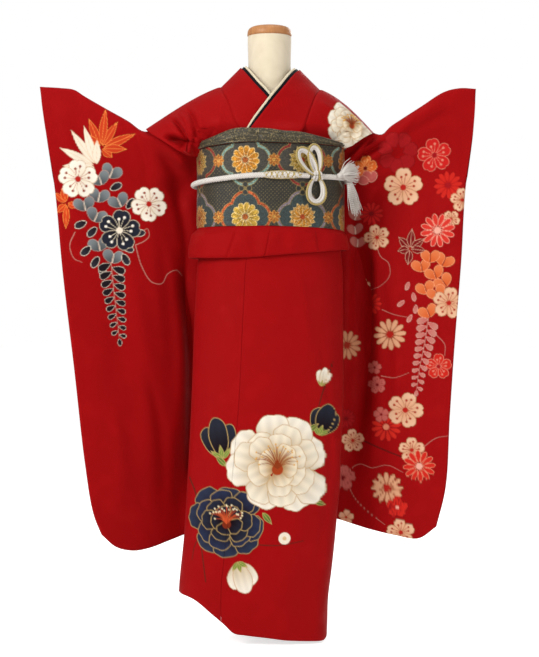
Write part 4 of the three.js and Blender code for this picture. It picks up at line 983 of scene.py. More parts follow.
def material(name, **surface):
    """A new material and its tree; surface gives the shader's constant numbers."""
    made = bpy.data.materials.new(name)
    made.use_nodes = True
    for key, value in surface.items():
        socket = made.node_tree.nodes["Principled BSDF"].inputs[key.replace("_", " ").title().replace("Ior", "IOR")]
        socket.default_value = (*value, 1) if isinstance(value, tuple) else value
    return made, made.node_tree


def wired(made, **sockets):
    """Links sockets to a material's surface, each to the input of its name."""
    for name, socket in sockets.items():
        made.node_tree.links.new(socket, made.node_tree.nodes["Principled BSDF"].inputs[name.replace("_", " ")])
    return made


def rgba(hex_colour):
    return (*linear(hex_colour), 1)


def crepe_silk(name, colour, deep, damask=0.5, sheen=(1, 0.35, 0.32)):
    """Silk crepe, piece-dyed, with hand-painted motifs: matt, with a low sheen at grazing angles, a fine pebbled
    face and a figured ground that shows only as a change of lustre."""
    made, tree = material(
        name, roughness=0.62, sheen_weight=0.04, sheen_roughness=0.4, sheen_tint=sheen, specular_ior_level=0.16,
        specular_tint=sheen
    )
    uv = node(tree, "UVMap", uv_map="weave")
    paint = node(tree, "Attribute", attribute_name="paint")
    # The woven figure repeats at about 48 mm; the crepe's grain of 0.4 mm is drawn at 1.2 mm so that it shows.
    big = node(tree, "Mapping", {"Vector": uv, "Scale": (21, 21, 21), "Rotation": (0, 0, 0.6)})
    petals = node(
        tree, "TexVoronoi", {"Vector": big, "Scale": 1.0, "Randomness": 0.75}, feature="SMOOTH_F1", output="Distance"
    )
    fine = node(
        tree, "TexWave", {"Vector": big, "Scale": 3.2, "Distortion": 7.0, "Detail": 1.0}, wave_type="RINGS",
        output="Fac"
    )
    spots = node(tree, "MapRange", {0: petals, 1: 0.25, 2: 0.42, 3: 1.0, 4: 0.0}, interpolation_type="SMOOTHSTEP")
    figure = node(tree, "Math", {0: spots, 1: fine}, operation="MULTIPLY")
    grain = node(tree, "TexNoise", {"Vector": uv, "Scale": 850.0, "Detail": 2.0, "Roughness": 0.6}, output="Fac")
    warp = node(tree, "TexWave", {"Vector": uv, "Scale": 260.0, "Distortion": 1.5}, bands_direction="Y", output="Fac")
    cloudy = node(tree, "TexNoise", {"Vector": uv, "Scale": 7.0, "Detail": 2.0}, output="Fac")
    share = 0.0
    for pattern, weight in ((figure, 0.28 * damask), (cloudy, 0.25), (grain, 0.22)):
        share = node(tree, "Math", {0: pattern, 1: weight, 2: share}, operation="MULTIPLY_ADD")
    ground = node(tree, "Mix", {"Factor": share, 6: rgba(deep), 7: rgba(colour)}, data_type="RGBA", output=2)
    worn = node(tree, "Math", {0: grain, 1: 0.3, 2: 0.85}, operation="MULTIPLY_ADD")
    dyed = node(tree, "VectorMath", {0: paint, 1: worn}, operation="MULTIPLY")
    back = node(tree, "NewGeometry", output="Backfacing")
    outside = node(tree, "Math", {0: 1.0, 1: back}, operation="SUBTRACT")
    cover = node(tree, "Math", {0: paint.node.outputs["Alpha"], 1: outside}, operation="MULTIPLY")
    colour_out = node(tree, "Mix", {"Factor": cover, 6: ground, 7: dyed}, data_type="RGBA", output=2)
    rough = node(tree, "MapRange", {0: figure, 1: 0.0, 2: 1.0, 3: 0.66, 4: 0.5})
    height = node(tree, "Math", {0: warp, 1: 0.5, 2: grain}, operation="MULTIPLY_ADD")
    height = node(tree, "Math", {0: figure, 1: 0.35, 2: height}, operation="MULTIPLY_ADD")
    bump = node(tree, "Bump", {"Height": height, "Strength": 0.16, "Distance": 0.0008})
    return wired(made, Base_Color=colour_out, Roughness=rough, Normal=bump)


def brocade():
    """Obi brocade: silk ground with gilt-paper wefts, which glint as small broken lights across the weave."""
    made, tree = material(
        "silk_brocade_with_gilt_weft", roughness=0.5, sheen_weight=0.1, sheen_roughness=0.5, specular_ior_level=0.45
    )
    uv = node(tree, "UVMap", uv_map="weave")
    paint = node(tree, "Attribute", attribute_name="paint")
    # Wefts lie 0.5 mm apart; they are drawn at 1.1 mm.
    weft = node(tree, "TexWave", {"Vector": uv, "Scale": 290.0, "Distortion": 0.6}, bands_direction="Y", output="Fac")
    knots = node(tree, "TexVoronoi", {"Vector": uv, "Scale": 620.0}, output="Color")
    glint = node(tree, "SeparateColor", {0: knots})
    bright = node(tree, "MapRange", {0: glint, 1: 0.2, 2: 1.0, 3: 0.5, 4: 1.35})
    colour = node(tree, "VectorMath", {0: paint, 1: bright}, operation="MULTIPLY")
    metal = node(tree, "Math", {0: paint.node.outputs["Alpha"], 1: 0.7}, operation="MULTIPLY")
    rough = node(tree, "MapRange", {0: glint, 3: 0.62, 4: 0.34})
    height = node(tree, "Math", {0: weft, 1: 0.8, 2: glint}, operation="MULTIPLY_ADD")
    bump = node(tree, "Bump", {"Height": height, "Strength": 0.35, "Distance": 0.0006})
    return wired(made, Base_Color=colour, Metallic=metal, Roughness=rough, Normal=bump)


def scarf_silk():
    """Figured silk crepe with metallic threads: dark olive, with a scatter of pale gold points."""
    made, tree = material(
        "figured_silk_with_metal_thread", roughness=0.5, sheen_weight=0.2, sheen_roughness=0.4, specular_ior_level=0.5
    )
    uv = node(tree, "UVMap", uv_map="weave")
    cells = node(tree, "TexVoronoi", {"Vector": uv, "Scale": 520.0}, output="Color")
    spark = node(tree, "SeparateColor", {0: cells}, output=1)
    shape = node(tree, "TexNoise", {"Vector": uv, "Scale": 190.0, "Detail": 3.0}, output="Fac")
    gold = node(tree, "Math", {0: spark, 1: shape}, operation="MULTIPLY")
    gold = node(tree, "MapRange", {0: gold, 1: 0.34, 2: 0.5})
    metal = node(tree, "Math", {0: gold, 1: 0.6}, operation="MULTIPLY")
    colour = node(tree, "Mix", {"Factor": gold, 6: rgba("#352E1C"), 7: rgba("#93825A")}, 2, data_type="RGBA")
    bump = node(tree, "Bump", {"Height": spark, "Strength": 0.3, "Distance": 0.0005})
    return wired(made, Base_Color=colour, Metallic=metal, Normal=bump)


def plaited(name, colour, dark, metallic=0.0, roughness=0.6):
    """Plaited silk cord: plump strands that shade each other, drawn as slanting ribs 2.2 mm apart."""
    made, tree = material(name, roughness=roughness, metallic=metallic, sheen_weight=0.25, sheen_roughness=0.4)
    uv = node(tree, "UVMap", uv_map="weave")
    ribs = node(
        tree, "TexWave", {"Vector": uv, "Scale": 140.0, "Distortion": 0.4}, bands_direction="DIAGONAL", output="Fac"
    )
    fuzz = node(tree, "TexNoise", {"Vector": uv, "Scale": 900.0}, output="Fac")
    share = node(tree, "Math", {0: fuzz, 1: 0.3, 2: ribs}, operation="MULTIPLY_ADD")
    colour = node(tree, "Mix", {"Factor": share, 6: rgba(dark), 7: rgba(colour)}, 2, data_type="RGBA")
    bump = node(tree, "Bump", {"Height": share, "Strength": 0.5, "Distance": 0.001})
    return wired(made, Base_Color=colour, Normal=bump)


def form_jersey():
    """Cotton jersey stretched over a padded form: matt and warm, with knit columns 1.2 mm apart."""
    made, tree = material(
        "cotton_jersey_on_padding", roughness=0.9, sheen_weight=0.3, sheen_roughness=0.6, specular_ior_level=0.2
    )
    uv = node(tree, "UVMap", uv_map="weave")
    knit = node(tree, "TexWave", {"Vector": uv, "Scale": 260.0, "Distortion": 0.8}, bands_direction="X", output="Fac")
    cloud = node(tree, "TexNoise", {"Vector": uv, "Scale": 30.0}, output="Fac")
    share = node(tree, "Math", {0: knit, 1: 0.25, 2: cloud}, operation="MULTIPLY_ADD")
    colour = node(tree, "Mix", {"Factor": share, 6: rgba("#D9C8A8"), 7: rgba("#EFE1C6")}, 2, data_type="RGBA")
    bump = node(tree, "Bump", {"Height": knit, "Strength": 0.2, "Distance": 0.0005})
    return wired(made, Base_Color=colour, Normal=bump)


def turned_beech():
    """Turned and oiled beech: pale brown with short dark flecks and faint rings, half-matt."""
    made, tree = material("oiled_beech", roughness=0.45, specular_ior_level=0.4)
    place = node(tree, "TexCoord", output="Object")
    long, short = (node(tree, "Mapping", {"Vector": place, "Scale": size}) for size in ((220, 30, 30), (700, 160, 160)))
    grain = node(tree, "TexNoise", {"Vector": long, "Scale": 1.0, "Detail": 4.0}, output="Fac")
    flecks = node(tree, "TexVoronoi", {"Vector": short, "Scale": 1.0}, output="Distance")
    share = node(tree, "Math", {0: flecks, 1: 0.35, 2: grain}, operation="MULTIPLY_ADD")
    colour = node(tree, "Mix", {"Factor": share, 6: rgba("#8A5226"), 7: rgba("#CC8E58")}, 2, data_type="RGBA")
    bump = node(tree, "Bump", {"Height": grain, "Strength": 0.1, "Distance": 0.0005})
    return wired(made, Base_Color=colour, Normal=bump)


def stoved_enamel():
    """Stoved enamel on steel: smooth, off-white, with the faint ripple of a dipped coat."""
    made, tree = material("stoved_enamel", roughness=0.35, coat_weight=0.3, coat_roughness=0.2)
    place = node(tree, "TexCoord", output="Object")
    ripple = node(tree, "TexNoise", {"Vector": place, "Scale": 60.0, "Detail": 2.0}, output="Fac")
    colour = node(tree, "Mix", {"Factor": ripple, 6: rgba("#D8D2C6"), 7: rgba("#EFEBE2")}, 2, data_type="RGBA")
    bump = node(tree, "Bump", {"Height": ripple, "Strength": 0.05, "Distance": 0.001})
    return wired(made, Base_Color=colour, Normal=bump)


def floor_paper():
    """Matt white studio paper with the least mottling. Its own glow is only seen, and lights nothing: it stands for
    the even light on the paper beyond the lamps."""
    made, tree = material("matt_studio_paper", roughness=0.9, specular_ior_level=0.1, emission_color=(1, 1, 1))
    place = node(tree, "TexCoord", output="Object")
    mottle = node(tree, "TexNoise", {"Vector": place, "Scale": 3.0}, output="Fac")
    seen = node(tree, "LightPath", output="Is Camera Ray")
    glow = node(tree, "Math", {0: seen, 1: 0.68}, operation="MULTIPLY")
    colour = node(tree, "Mix", {"Factor": mottle, 6: rgba("#F4F3F1"), 7: rgba("#FBFAF9")}, 2, data_type="RGBA")
    return wired(made, Base_Color=colour, Emission_Strength=glow)


FINISHES = {}


def finish(name):
    """The material of one of the garment's finishes, made when it is first asked for."""
    if name not in FINISHES:
        colours = bpy.context.scene.kimono_colours
        tone = {k: "#" + "".join(f"{round(255 * c):02X}" for c in getattr(colours, k)) for k in ("silk", "silk_deep")}
        makers = {
            "silk_red": lambda: crepe_silk("red_silk_crepe", tone["silk"], tone["silk_deep"]),
            "silk_black": lambda: crepe_silk("black_figured_silk", "#141218", "#060508", 1.5, (0.8, 0.8, 0.9)),
            "silk_cream": lambda: crepe_silk("cream_figured_silk", "#F6ECD8", "#DCCBA8", 1.0, (1, 1, 1)),
            "brocade": brocade,
            "scarf": scarf_silk,
            "braid": lambda: plaited("white_silk_cord", "#F4EEE8", "#B9AE9E"),
            "gilt": lambda: plaited("gilt_thread_cord", "#D8C078", "#7A6230", 0.55, 0.4),
            "form_cloth": form_jersey,
            "wood": turned_beech,
            "enamel": stoved_enamel,
            "floor": floor_paper,
        }
        FINISHES[name] = makers[name]()
    return FINISHES[name]


# ---- creases
def creased(points, outward, rows):
    """Moves points along their outward side by soft ridges and troughs, each (x, z) start, (x, z) end, half
    width and height, in millimetres as seen from in front; a trough's height is negative."""
    n = grid_normals(points, outward)
    p = points[..., (0, 2)]
    lift = np.zeros(p.shape[:2])
    for x0, z0, x1, z1, width, height in rows:
        a, ab = np.array([x0, z0]), np.array([x1 - x0, z1 - z0], float)
        length = np.linalg.norm(ab)
        h = ((p - a) @ ab) / length**2
        bow = 0.06 * length * np.sin(np.pi * np.clip(h, 0, 1))
        away = ((p - a) @ np.array([-ab[1], ab[0]])) / length - bow
        fade = smooth(h / 0.3 + 0.25) * smooth((1 - h) / 0.35 + 0.1)
        wide = width * (0.75 + 0.5 * np.clip(h, 0, 1))
        lift = lift + height * fade * np.exp(-((away / wide) ** 2))
    return points + n * lift[..., None]


def spaced(*parts):
    """Places along a grid's side: (from, to, step) parts in order, each at its own spacing."""
    rows = [np.linspace(a, b, max(2, int(math.ceil(abs(b - a) / step)) + 1)) for a, b, step in parts]
    return np.concatenate([r if i == 0 else r[1:] for i, r in enumerate(rows)])


def dyed(points, paint):
    dye = Dye(points[..., 0], points[..., 2])
    paint(dye)
    return dye.rgba


def same_way(direction):
    return lambda p: np.broadcast_to(np.asarray(direction, float), p.shape)


def grid(us, vs):
    return np.meshgrid(us, vs, indexing="ij")


def cut_of(points):
    """The flat width and length of a piece of cloth, in metres, to the nearest 5 mm."""
    wide, long = lengths_along(points, 0)[-1].mean(), lengths_along(points, 1)[:, -1].mean()
    return tuple(max(0.01, round(float(side) / 5) * 0.005) for side in (wide, long))


def silk_wall():
    return bpy.context.scene.kimono_sizes.silk_wall / MM


# ---- the form
FORM_FOOT, FORM_NECK, FORM_TOP = 640, 1250, 1439.7
CAP_PROFILE = (
    (0, 0), (51, 0), (53, 1.5), (53, 6), (52.2, 12), (49, 18), (42, 22), (30, 23.6), (14, 24), (0, 24),
)


def build_form():
    at, z = grid(np.linspace(-180, 180, 73), spaced((FORM_FOOT, FORM_NECK, 20), (FORM_NECK, FORM_TOP, 4)))
    neck = np.clip((z - FORM_NECK) / 95, 0, 1)
    power = WAIST_POWER + (2 - WAIST_POWER) * neck
    r = bearing(at, between(FORM_SECTIONS, z, 1), between(FORM_SECTIONS, z, 2), power)
    p = point(WAIST_CENTRE * (1 - neck) + r * np.sin(np.radians(at)), -r * np.cos(np.radians(at)), z)
    foot, top = (point(0 * at[:, :1], 0, h) for h in (FORM_FOOT, FORM_TOP))
    mesh = lattice_mesh("padded_form", np.concatenate([foot, p, top], 1), lambda q: q - (0, 0, 1100), merge=True)
    piece("padded_form", mesh, "form_cloth", ["form_torso"])

    turn, down = grid(np.linspace(0, 2 * np.pi, 73), np.linspace(0, 1, 41))
    shape = Route([(x, 0, z) for x, z in CAP_PROFILE]).share(down)
    r = np.maximum(shape[..., 0], 0)
    p = point(r * np.cos(turn), r * np.sin(turn), 1440 + np.clip(shape[..., 2], 0, 24))
    mesh = lattice_mesh("beech_cap", p, lambda q: q - (0, 0, 1450), merge=True)
    piece("beech_cap", mesh, "wood", ["form_cap"])
    for name in ("form_pole", "form_base"):
        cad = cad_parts[name]
        cad.data.materials.clear()
        cad.data.materials.append(finish("enamel"))


# ---- the skirt
def skirt_piece(name, start, end, columns, rows, lift, drift=None, rise=0, paint=None, rests_on="form_torso"):
    """A panel of the skirt between two bearings; a painted one has creases and a turned hem."""
    u, down = grid(columns, rows)
    at = lambda z: u + (drift((u - start) / (end - start), z) if drift else 0)
    low = at(np.full_like(u, 60.0))
    z = mix(SKIRT_TOP, between(HEM, np.where(low < OVERLAP, low + 360, low)) + rise, down)
    p = off(skirt, at(z), z, lift(at(z), z), skirt_axis)
    wall, colours = silk_wall(), None
    if paint:
        p = creased(p, skirt_axis, SKIRT_CREASES)
    cut = cut_of(p)
    if paint:
        p, wall = hemmed(p, wall, skirt_axis), 0
        colours = dyed(p, paint)
    cloth(name, p, skirt_axis, "hung", [rests_on], wall=wall, cut=cut, paint=colours)


SKIRT_CREASES = (
    (182, 690, 116, 10, 7, -3.6), (168, 700, 100, 60, 12, 2.6), (118, 720, 100, 140, 9, -2.2),
    (-150, 640, -175, 150, 14, 2.0), (-20, 330, 40, 60, 22, 1.6),
    (20, 560, -10, 200, 30, -1.4), (-100, 900, -112, 700, 12, -1.2), (60, 900, 84, 640, 14, 1.4),
    (140, 560, 128, 60, 8, 2.4),
)


def build_skirt():
    gap, edge = 0.09, SKIRT_EDGES
    left, right = OKUMI_AT + gap, OKUMI_AT - gap
    moved = lambda z: between(OKUMI_SEAM, z) - OKUMI_AT
    under = lambda at, z: UNDER + 0 * z
    deeper = lambda at, z: UNDER - 3 * smooth((900 - z) / 90)
    for name, start, end, columns, fine_from, lift, drift in (
        (
            "skirt_over_front", left, edge["side"], ((left, 58, 0.62), (58, edge["side"], 1.6)), 0.34,
            lambda at, z: UNDER * smooth((at - 62) / 28), lambda s, z: (1 - s) ** 3 * moved(z),
        ),
        (
            "skirt_over_okumi", edge["free"], right, ((edge["free"], -78, 1.5), (-78, right, 0.72)), 0.44,
            lambda at, z: 0 * z, lambda s, z: s * moved(z),
        ),
    ):
        rows = spaced((0, fine_from, 0.008), (fine_from, 0.98, 0.0019), (0.98, 1, 0.004))
        skirt_piece(
            name, start, end, spaced(*columns), rows, lift, drift, paint=dye_skirt, rests_on="skirt_under_front"
        )
    for name, start, end, lift, rise in (
        ("skirt_back_left", edge["side"], 180, under, 0),
        ("skirt_back_right", 180, 360 + edge["under_seam"], under, 0),
        ("skirt_under_front", edge["under_seam"], edge["under_okumi"] - gap, deeper, 10),
        ("skirt_under_okumi", edge["under_okumi"] + gap, edge["under_edge"], deeper, 10),
    ):
        skirt_piece(name, start, end, spaced((start, end, 2.6)), spaced((0, 1, 0.009)), lift, rise=rise)


# ---- the fold under the obi
def build_ohashori():
    at, s = grid(spaced((-90, -56, 3), (-56, 2, 0.7), (2, 44, 2.5), (44, 56, 0.9), (56, 270, 3)), np.linspace(0, 1, 45))
    low, out, edge = between(OHASHORI, at, 2), between(OHASHORI, at, 1), between(OBI_EDGES, at, 1)
    snug, drop = OFF_OHASHORI, edge - low
    corners = [
        (snug, 1035 + 0 * at), (snug, edge - 1), (snug + (out - snug) * 0.62, edge - drop * 0.22),
        (snug + (out - snug) * 0.92, edge - drop * 0.6),
        (out, low + 7), (out - 1.5, low + 2), (out - 4, low), (out - 6.5, low + 2.5), (out - 7.5, low + 10),
        (snug + (out - snug) * 0.5 - 5, edge - drop * 0.4), (snug - 2.0, edge + 4),
    ]
    keys = np.array([0, 0.16, 0.3, 0.46, 0.6, 0.67, 0.72, 0.77, 0.83, 0.92, 1.0])
    place = np.zeros(at.shape + (2,))
    for axis in (0, 1):
        values = np.stack([np.broadcast_to(c[axis], at.shape) for c in corners], -1)
        k = np.clip(np.searchsorted(keys, s[0], side="right") - 1, 0, len(keys) - 2)
        w = smooth(
            (s[0] - keys[k]) / (keys[k + 1] - keys[k])
        ) * 0.35 + 0.65 * (s[0] - keys[k]) / (keys[k + 1] - keys[k])
        place[..., axis] = values[:, np.arange(s.shape[1]), k] * (1 - w) + values[:, np.arange(s.shape[1]), k + 1] * w
    belly = smooth((s - 0.16) / 0.2) * smooth((0.9 - s) / 0.2)
    a = np.radians(at)
    soft = 1.6 * np.sin(a * 5 + 1) + 1.1 * np.sin(a * 11 + 4 * s) + 0.7 * np.sin(a * 19 - 3 * s)
    off_by = place[..., 0] + belly * soft
    for bearing_at, lean in ((-38.8, -19), (0.5, -17)):
        d = (at - bearing_at - lean * (s - 0.2)) * 2.7
        off_by = off_by - belly * 2.6 * np.exp(-((d / 2.2) ** 2)) + belly * 1.2 * smooth(d / 6) * smooth((40 - d) / 30)
    d = (at - 49.5 - 3 * (s - 0.3)) * 2.9
    off_by = off_by + belly * 2.2 * smooth((3 - d) / 4) * smooth((d + 60) / 50)
    p = on_waist(at, place[..., 1], off_by)
    cloth("ohashori", p, from_axis, "folded", ["skirt_over_front", "obi_band"], wall=1.4, merge=True)


# ---- the body and its collar
def body_out(p):
    return point(p[..., 0] * 0.5, p[..., 1], np.maximum(0, p[..., 2] - WAIST_TOP) * 1.5)


BODY_LEFT_CREASES = (
    (95, 1290, 215, 1180, 9, 2.6), (196, 1262, 190, 1172, 5, -4.2), (160, 1285, 182, 1176, 7, 2.4),
    (120, 1245, 172, 1165, 6, -2.6), (60, 1230, 120, 1165, 11, 1.6), (222, 1238, 204, 1176, 5, 3.6)
)
BODY_RIGHT_CREASES = (
    (-242, 1250, -181, 1152, 4.5, -10.0), (-229, 1252, -176, 1158, 4, 7.0), (-197, 1266, -168, 1160, 6, -9.0),
    (-216, 1258, -173, 1166, 6, 4.0), (-248, 1198, -180, 1158, 8, -32.0),
    (-180, 1262, -152, 1180, 7, 3.4), (-161, 1215, -148, 1176, 5, -3.2), (-110, 1285, -134, 1180, 11, 1.8),
    (-60, 1225, -110, 1165, 11, 1.2),
)


def neck_out(p):
    front = p[..., 1] < 0
    return point(p[..., 0] * 0.6, p[..., 1] + np.where(front, -30, 30), np.where(front, 40, 10))


def collar_band(name, start, end, depth, wall, look, t):
    """One band of the collar; without an end it is as wide as the collar."""
    along, s = grid(t, np.linspace(0, 1, 15 if end is None else 7))
    wide = collar_width(along) if end is None else np.full_like(along, end)
    surface = lambda a, b: collar(a, mix(start, wide, b))
    p = off(surface, np.clip(along, 0.001, 0.999), s, np.full_like(s, -depth), neck_out)
    cloth(name, p, neck_out, "laid", ["body_left", "body_right", "form_torso"], look, wall)


def build_body():
    for name, surface, creases, paint in (
        ("body_left", body_half(1, BODY_LEFT_ARM, BODY_LEFT_SWELL), BODY_LEFT_CREASES, dye_shoulder),
        ("body_right", body_half(-1, BODY_RIGHT_ARM, BODY_RIGHT_SWELL), BODY_RIGHT_CREASES, None),
    ):
        front_step = 0.0055 if paint else 0.008
        across, along = grid(spaced((0.002, 0.998, 0.012)), spaced((0.002, 0.5, front_step), (0.5, 0.998, 0.012)))
        p = off(surface, across, along, np.zeros_like(across), body_out)
        shown = smooth((0.55 - along) / 0.1) * smooth((along - 0.1) / 0.06) * smooth((across - 0.05) / 0.15)
        p = mix(p, creased(p, body_out, creases), shown[..., None])
        colours = None
        if paint:
            colours = dyed(p, paint)
            colours[along > 0.52] = 0
        cloth(name, p, body_out, "draped", ["form_torso"], wall=silk_wall(), paint=colours)
    t = np.linspace(0, 1, 281)
    collar_band("collar", 0, None, 0, 2.2, "silk_red", t)
    for shade, start, end, depth in (("black", -7, 8, 3.7), ("cream", -12.5, 3, 5.7)):
        collar_band(f"date_eri_{shade}", start, end, depth, 0.9, f"silk_{shade}", t[13:-20])


# ---- the sleeves
RIGHT_SLEEVE_CREASES = (
    (-310, 1212, -182, 1122, 20, 16.0), (-262, 1165, -196, 1040, 17, -9.0), (-236, 1110, -206, 760, 20, -11.0),
    (-330, 1228, -292, 1080, 12, -3.5), (-208, 900, -214, 236, 34, -32.0),
    (-262, 1000, -238, 420, 20, 4.5), (-345, 900, -310, 330, 26, 4.0), (-420, 1080, -385, 520, 26, -4.0),
    (-500, 1260, -470, 900, 24, 3.2), (-300, 640, -268, 250, 18, -5.0), (-380, 560, -372, 250, 20, 3.4),
)
LEFT_SLEEVE_CREASES = (
    (188, 1146, 276, 1198, 8, 10.0), (194, 1132, 290, 1186, 7, -11.0), (200, 1116, 330, 1188, 10, 6.0),
    (196, 1096, 330, 1160, 9, -5.5), (214, 1160, 262, 1200, 5, -7.0), (285, 1190, 440, 1290, 14, 4.0),
    (300, 1176, 455, 1262, 12, -4.0),
    (206, 1080, 320, 1126, 12, 3.4), (190, 1060, 170, 300, 34, -30.0), (240, 1040, 214, 420, 16, 5.5),
    (262, 900, 250, 340, 15, -5.0), (330, 1120, 300, 560, 26, 4.0), (390, 1060, 370, 420, 26, -4.0),
    (448, 1200, 432, 760, 20, 3.0),
)


def build_sleeves():
    for name, table, creases, paint, (fine_to, fine) in (
        ("sleeve_left", SLEEVE_LEFT, LEFT_SLEEVE_CREASES, dye_left_sleeve, (0.86, 0.0021)),
        ("sleeve_right", SLEEVE_RIGHT, RIGHT_SLEEVE_CREASES, dye_right_sleeve, (0.6, 0.0019)),
    ):
        layer = sleeve_layers(table)
        softer = [
            (x0 * 1.02, z0, x1 * 0.98, z1 + 30, wide * 1.3, max(-5, min(5, -high * 0.8)))
            for x0, z0, x1, z1, wide, high in creases[::-1]
        ]
        front = spaced((0, 0.96, 0.0068), (0.96, 1, 0.0035)), spaced(
            (0, 0.04, 0.003), (0.04, fine_to, fine), (fine_to, 0.97, 0.006), (0.97, 1, 0.002)
        )
        back = spaced((0, 0.96, 0.02), (0.96, 1, 0.0035)), spaced(
            (0, 0.04, 0.003), (0.04, 0.97, 0.008), (0.97, 1, 0.002)
        )
        for part, side, steps, rows, top in (("front", -1, front, creases, 0.02), ("back", 1, back, softer, 0.05)):
            s, t = grid(*steps)
            s = 1 - (1 - s) ** 1.05 if side < 0 else s
            outward = same_way((0, side, 0))
            p = layer(s, t, side)
            shown = smooth((1 - s) / 0.12) * smooth(t / top) * smooth((1 - t) / 0.04)
            p = mix(p, creased(p, outward, rows), shown[..., None])
            dense = {}
            if side < 0:
                dense = {"weave": np.stack([lengths_along(p, 0), lengths_along(p, 1)], -1), "paint": dyed(p, paint)}
            cloth(f"{name}_{part}", p, outward, "hung", ["body_" + name.split("_")[1]], **dense)


# ---- the obi and its scarf
OBI_WALL, DRUM_WALL = 2.6, 4.4
SCARF_CUT = (0.92, 0.027)


def build_obi():
    at, s = grid(spaced((-180, -96, 2.5), (-96, 96, 0.56), (96, 180, 2.5)), spaced((0, 1, 0.008)))
    turned = np.where(at < -90, at + 360, at)
    z = mix(between(OBI_EDGES, turned, 1), between(OBI_EDGES, turned, 2), s)
    ease = 0.5 * np.sin(np.radians(at) * 3 + 2) * np.sin(np.pi * s) + 0.35 * np.sin(np.radians(at) * 7 + 5 * s)
    layered = -0.9 * smooth((s - 0.955) / 0.012) - 0.9 * smooth((0.03 - s) / 0.012)
    p = on_waist(at, z, OFF_OBI - 0.6 + ease + layered)
    cut = cut_of(p)
    p = hemmed(p, OBI_WALL, from_axis, "y")
    arc = lengths_along(p, 0)
    middle = len(p) // 2
    start = arc[middle] - (p[middle, :, 0] + 57.0)
    paint = brocade_weave(arc - start, 1134 - p[..., 2])
    rests_on = ["ohashori", "body_left", "body_right"]
    cloth("obi_band", p, from_axis, "folded", rests_on, "brocade", cut=cut, paint=paint, merge=True)

    at, s = grid(np.linspace(-90, 270, 361), np.linspace(0, 1, 41))
    foot = between(OBI_EDGES, at, 2) + SEAM
    tall, out = between(OBIAGE, at, 1), between(OBIAGE, at, 2)
    turn = 2 * np.pi * s
    h = 0.5 + 0.5 * np.sin(turn)
    x = (0.5 + 0.5 * np.cos(turn)) * (1 - 0.35 * h**3)
    face = smooth((x - 0.4) / 0.4)
    a = np.radians(at)
    folds = 1.5 * np.sin(h * 13 + 3 * np.sin(a * 2) + 1.3 * np.sin(a * 5 + 1)) + 0.9 * np.sin(h * 24 + a * 6)
    for place, lean, deep in ((-11, 10, 3.2), (20, 8, 3.0)):
        folds = folds - deep * np.exp(-(((at - place + lean * h) / deep) ** 2))
    folds = folds * face
    off_by = OBIAGE_INNER + 0.2 + (out - OBIAGE_INNER) * x + np.minimum(folds, 1.2)
    z = foot + tall * (h + 0.035 * np.sin(a * 9 + 2) * h)
    p = on_waist(at, z, off_by)
    heart = on_waist(at, foot + tall * 0.5, OBIAGE_INNER + 3 + 0 * at)
    rests_on = ["obi_band", "body_left", "body_right"]
    cloth("obiage", p, lambda q: q - heart, "folded", rests_on, "scarf", cut=SCARF_CUT, merge=True)


def build_drum():
    d = DRUM
    r = d["corner"]
    y0, y1, z0, z1 = d["near"], d["near"] + d["deep"], d["low"], d["high"]
    arcs = [(y1 - r, z0 + r, -90), (y1 - r, z1 - r, 0), (y0 + r, z1 - r, 90), (y0 + r, z0 + r, 180)]
    path = [around((cy, cz), r, math.radians(start + k * 9)) for cy, cz, start in arcs for k in range(11)]
    path = np.array(path + path[:1])
    steps = np.concatenate([[0], np.cumsum(np.linalg.norm(np.diff(path, axis=0), axis=1))])
    outer = (steps[2], steps[13])  # the loop's face away from the wearer
    shown, hidden = 2.1, 6.0  # millimetres between rows
    along = spaced((0, outer[0], hidden), (*outer, shown), (outer[1], steps[-1], hidden))
    loop = np.stack([np.interp(along, steps, path[:, k]) for k in (0, 1)], -1)
    x, k = grid(np.linspace(-d["half"], d["half"], 141), np.arange(len(along)))
    sag = 2.2 * np.sin(np.pi * (x / d["half"] + 1) / 2) * np.sin(2 * np.pi * along[k] / steps[-1] * 3)
    p = point(x + WAIST_CENTRE, loop[k][..., 0], loop[k][..., 1])
    away = unit(p - np.array([0, (y0 + y1) / 2, (z0 + z1) / 2]) * np.array([0, 1, 1]) - point(p[..., 0], 0, 0))
    p = p + away * np.clip(sag, -2.2, 0)[..., None]
    axis = lambda q: point(0, q[..., 1] - (y0 + y1) / 2, q[..., 2] - (z0 + z1) / 2)
    cut = cut_of(p)
    p = hemmed(p, DRUM_WALL, axis, "x")
    weave = brocade_weave(x, along[k])
    weave = np.concatenate([weave[:1], weave, weave[-1:]])
    cloth("obi_drum", p, axis, "folded", ["obi_hand"], "brocade", cut=cut, paint=weave, merge=True)

    half = d["half"] + 16
    middle = d["near"] + d["wall"] + SEAM + 3
    path = [(x + WAIST_CENTRE, middle, 1052) for x in np.linspace(-half, half, 60)]
    mesh = tube_mesh("obi_hand", path, 39.5, 40)
    co = np.zeros(len(mesh.vertices) * 3)
    mesh.vertices.foreach_get("co", co)
    co = co.reshape(-1, 3)
    middle = middle * MM
    co[:, 1] = middle + np.sign(co[:, 1] - middle) * np.minimum(np.abs(co[:, 1] - middle) * 0.3, 2.9 * MM)
    mesh.vertices.foreach_set("co", co.ravel())
    painted(mesh, brocade_weave(co[:, 0] / MM, co[:, 2] / MM).ravel())
    hand = piece("obi_hand", mesh, "brocade", ["obi_hand"])

    x, z = grid(np.linspace(-d["half"] + 2, d["half"] - 2, 71), np.linspace(868, 1074, 50))
    near = d["near"] - SEAM - 0.2
    p = point(x + WAIST_CENTRE, near - 0.25 * (1 - np.cos(x * 0.09)), z)
    cloth("obi_tail", p, same_way((0, 1, 0)), "folded", ["obi_drum"], "brocade", 3.4, paint=brocade_weave(x, z))


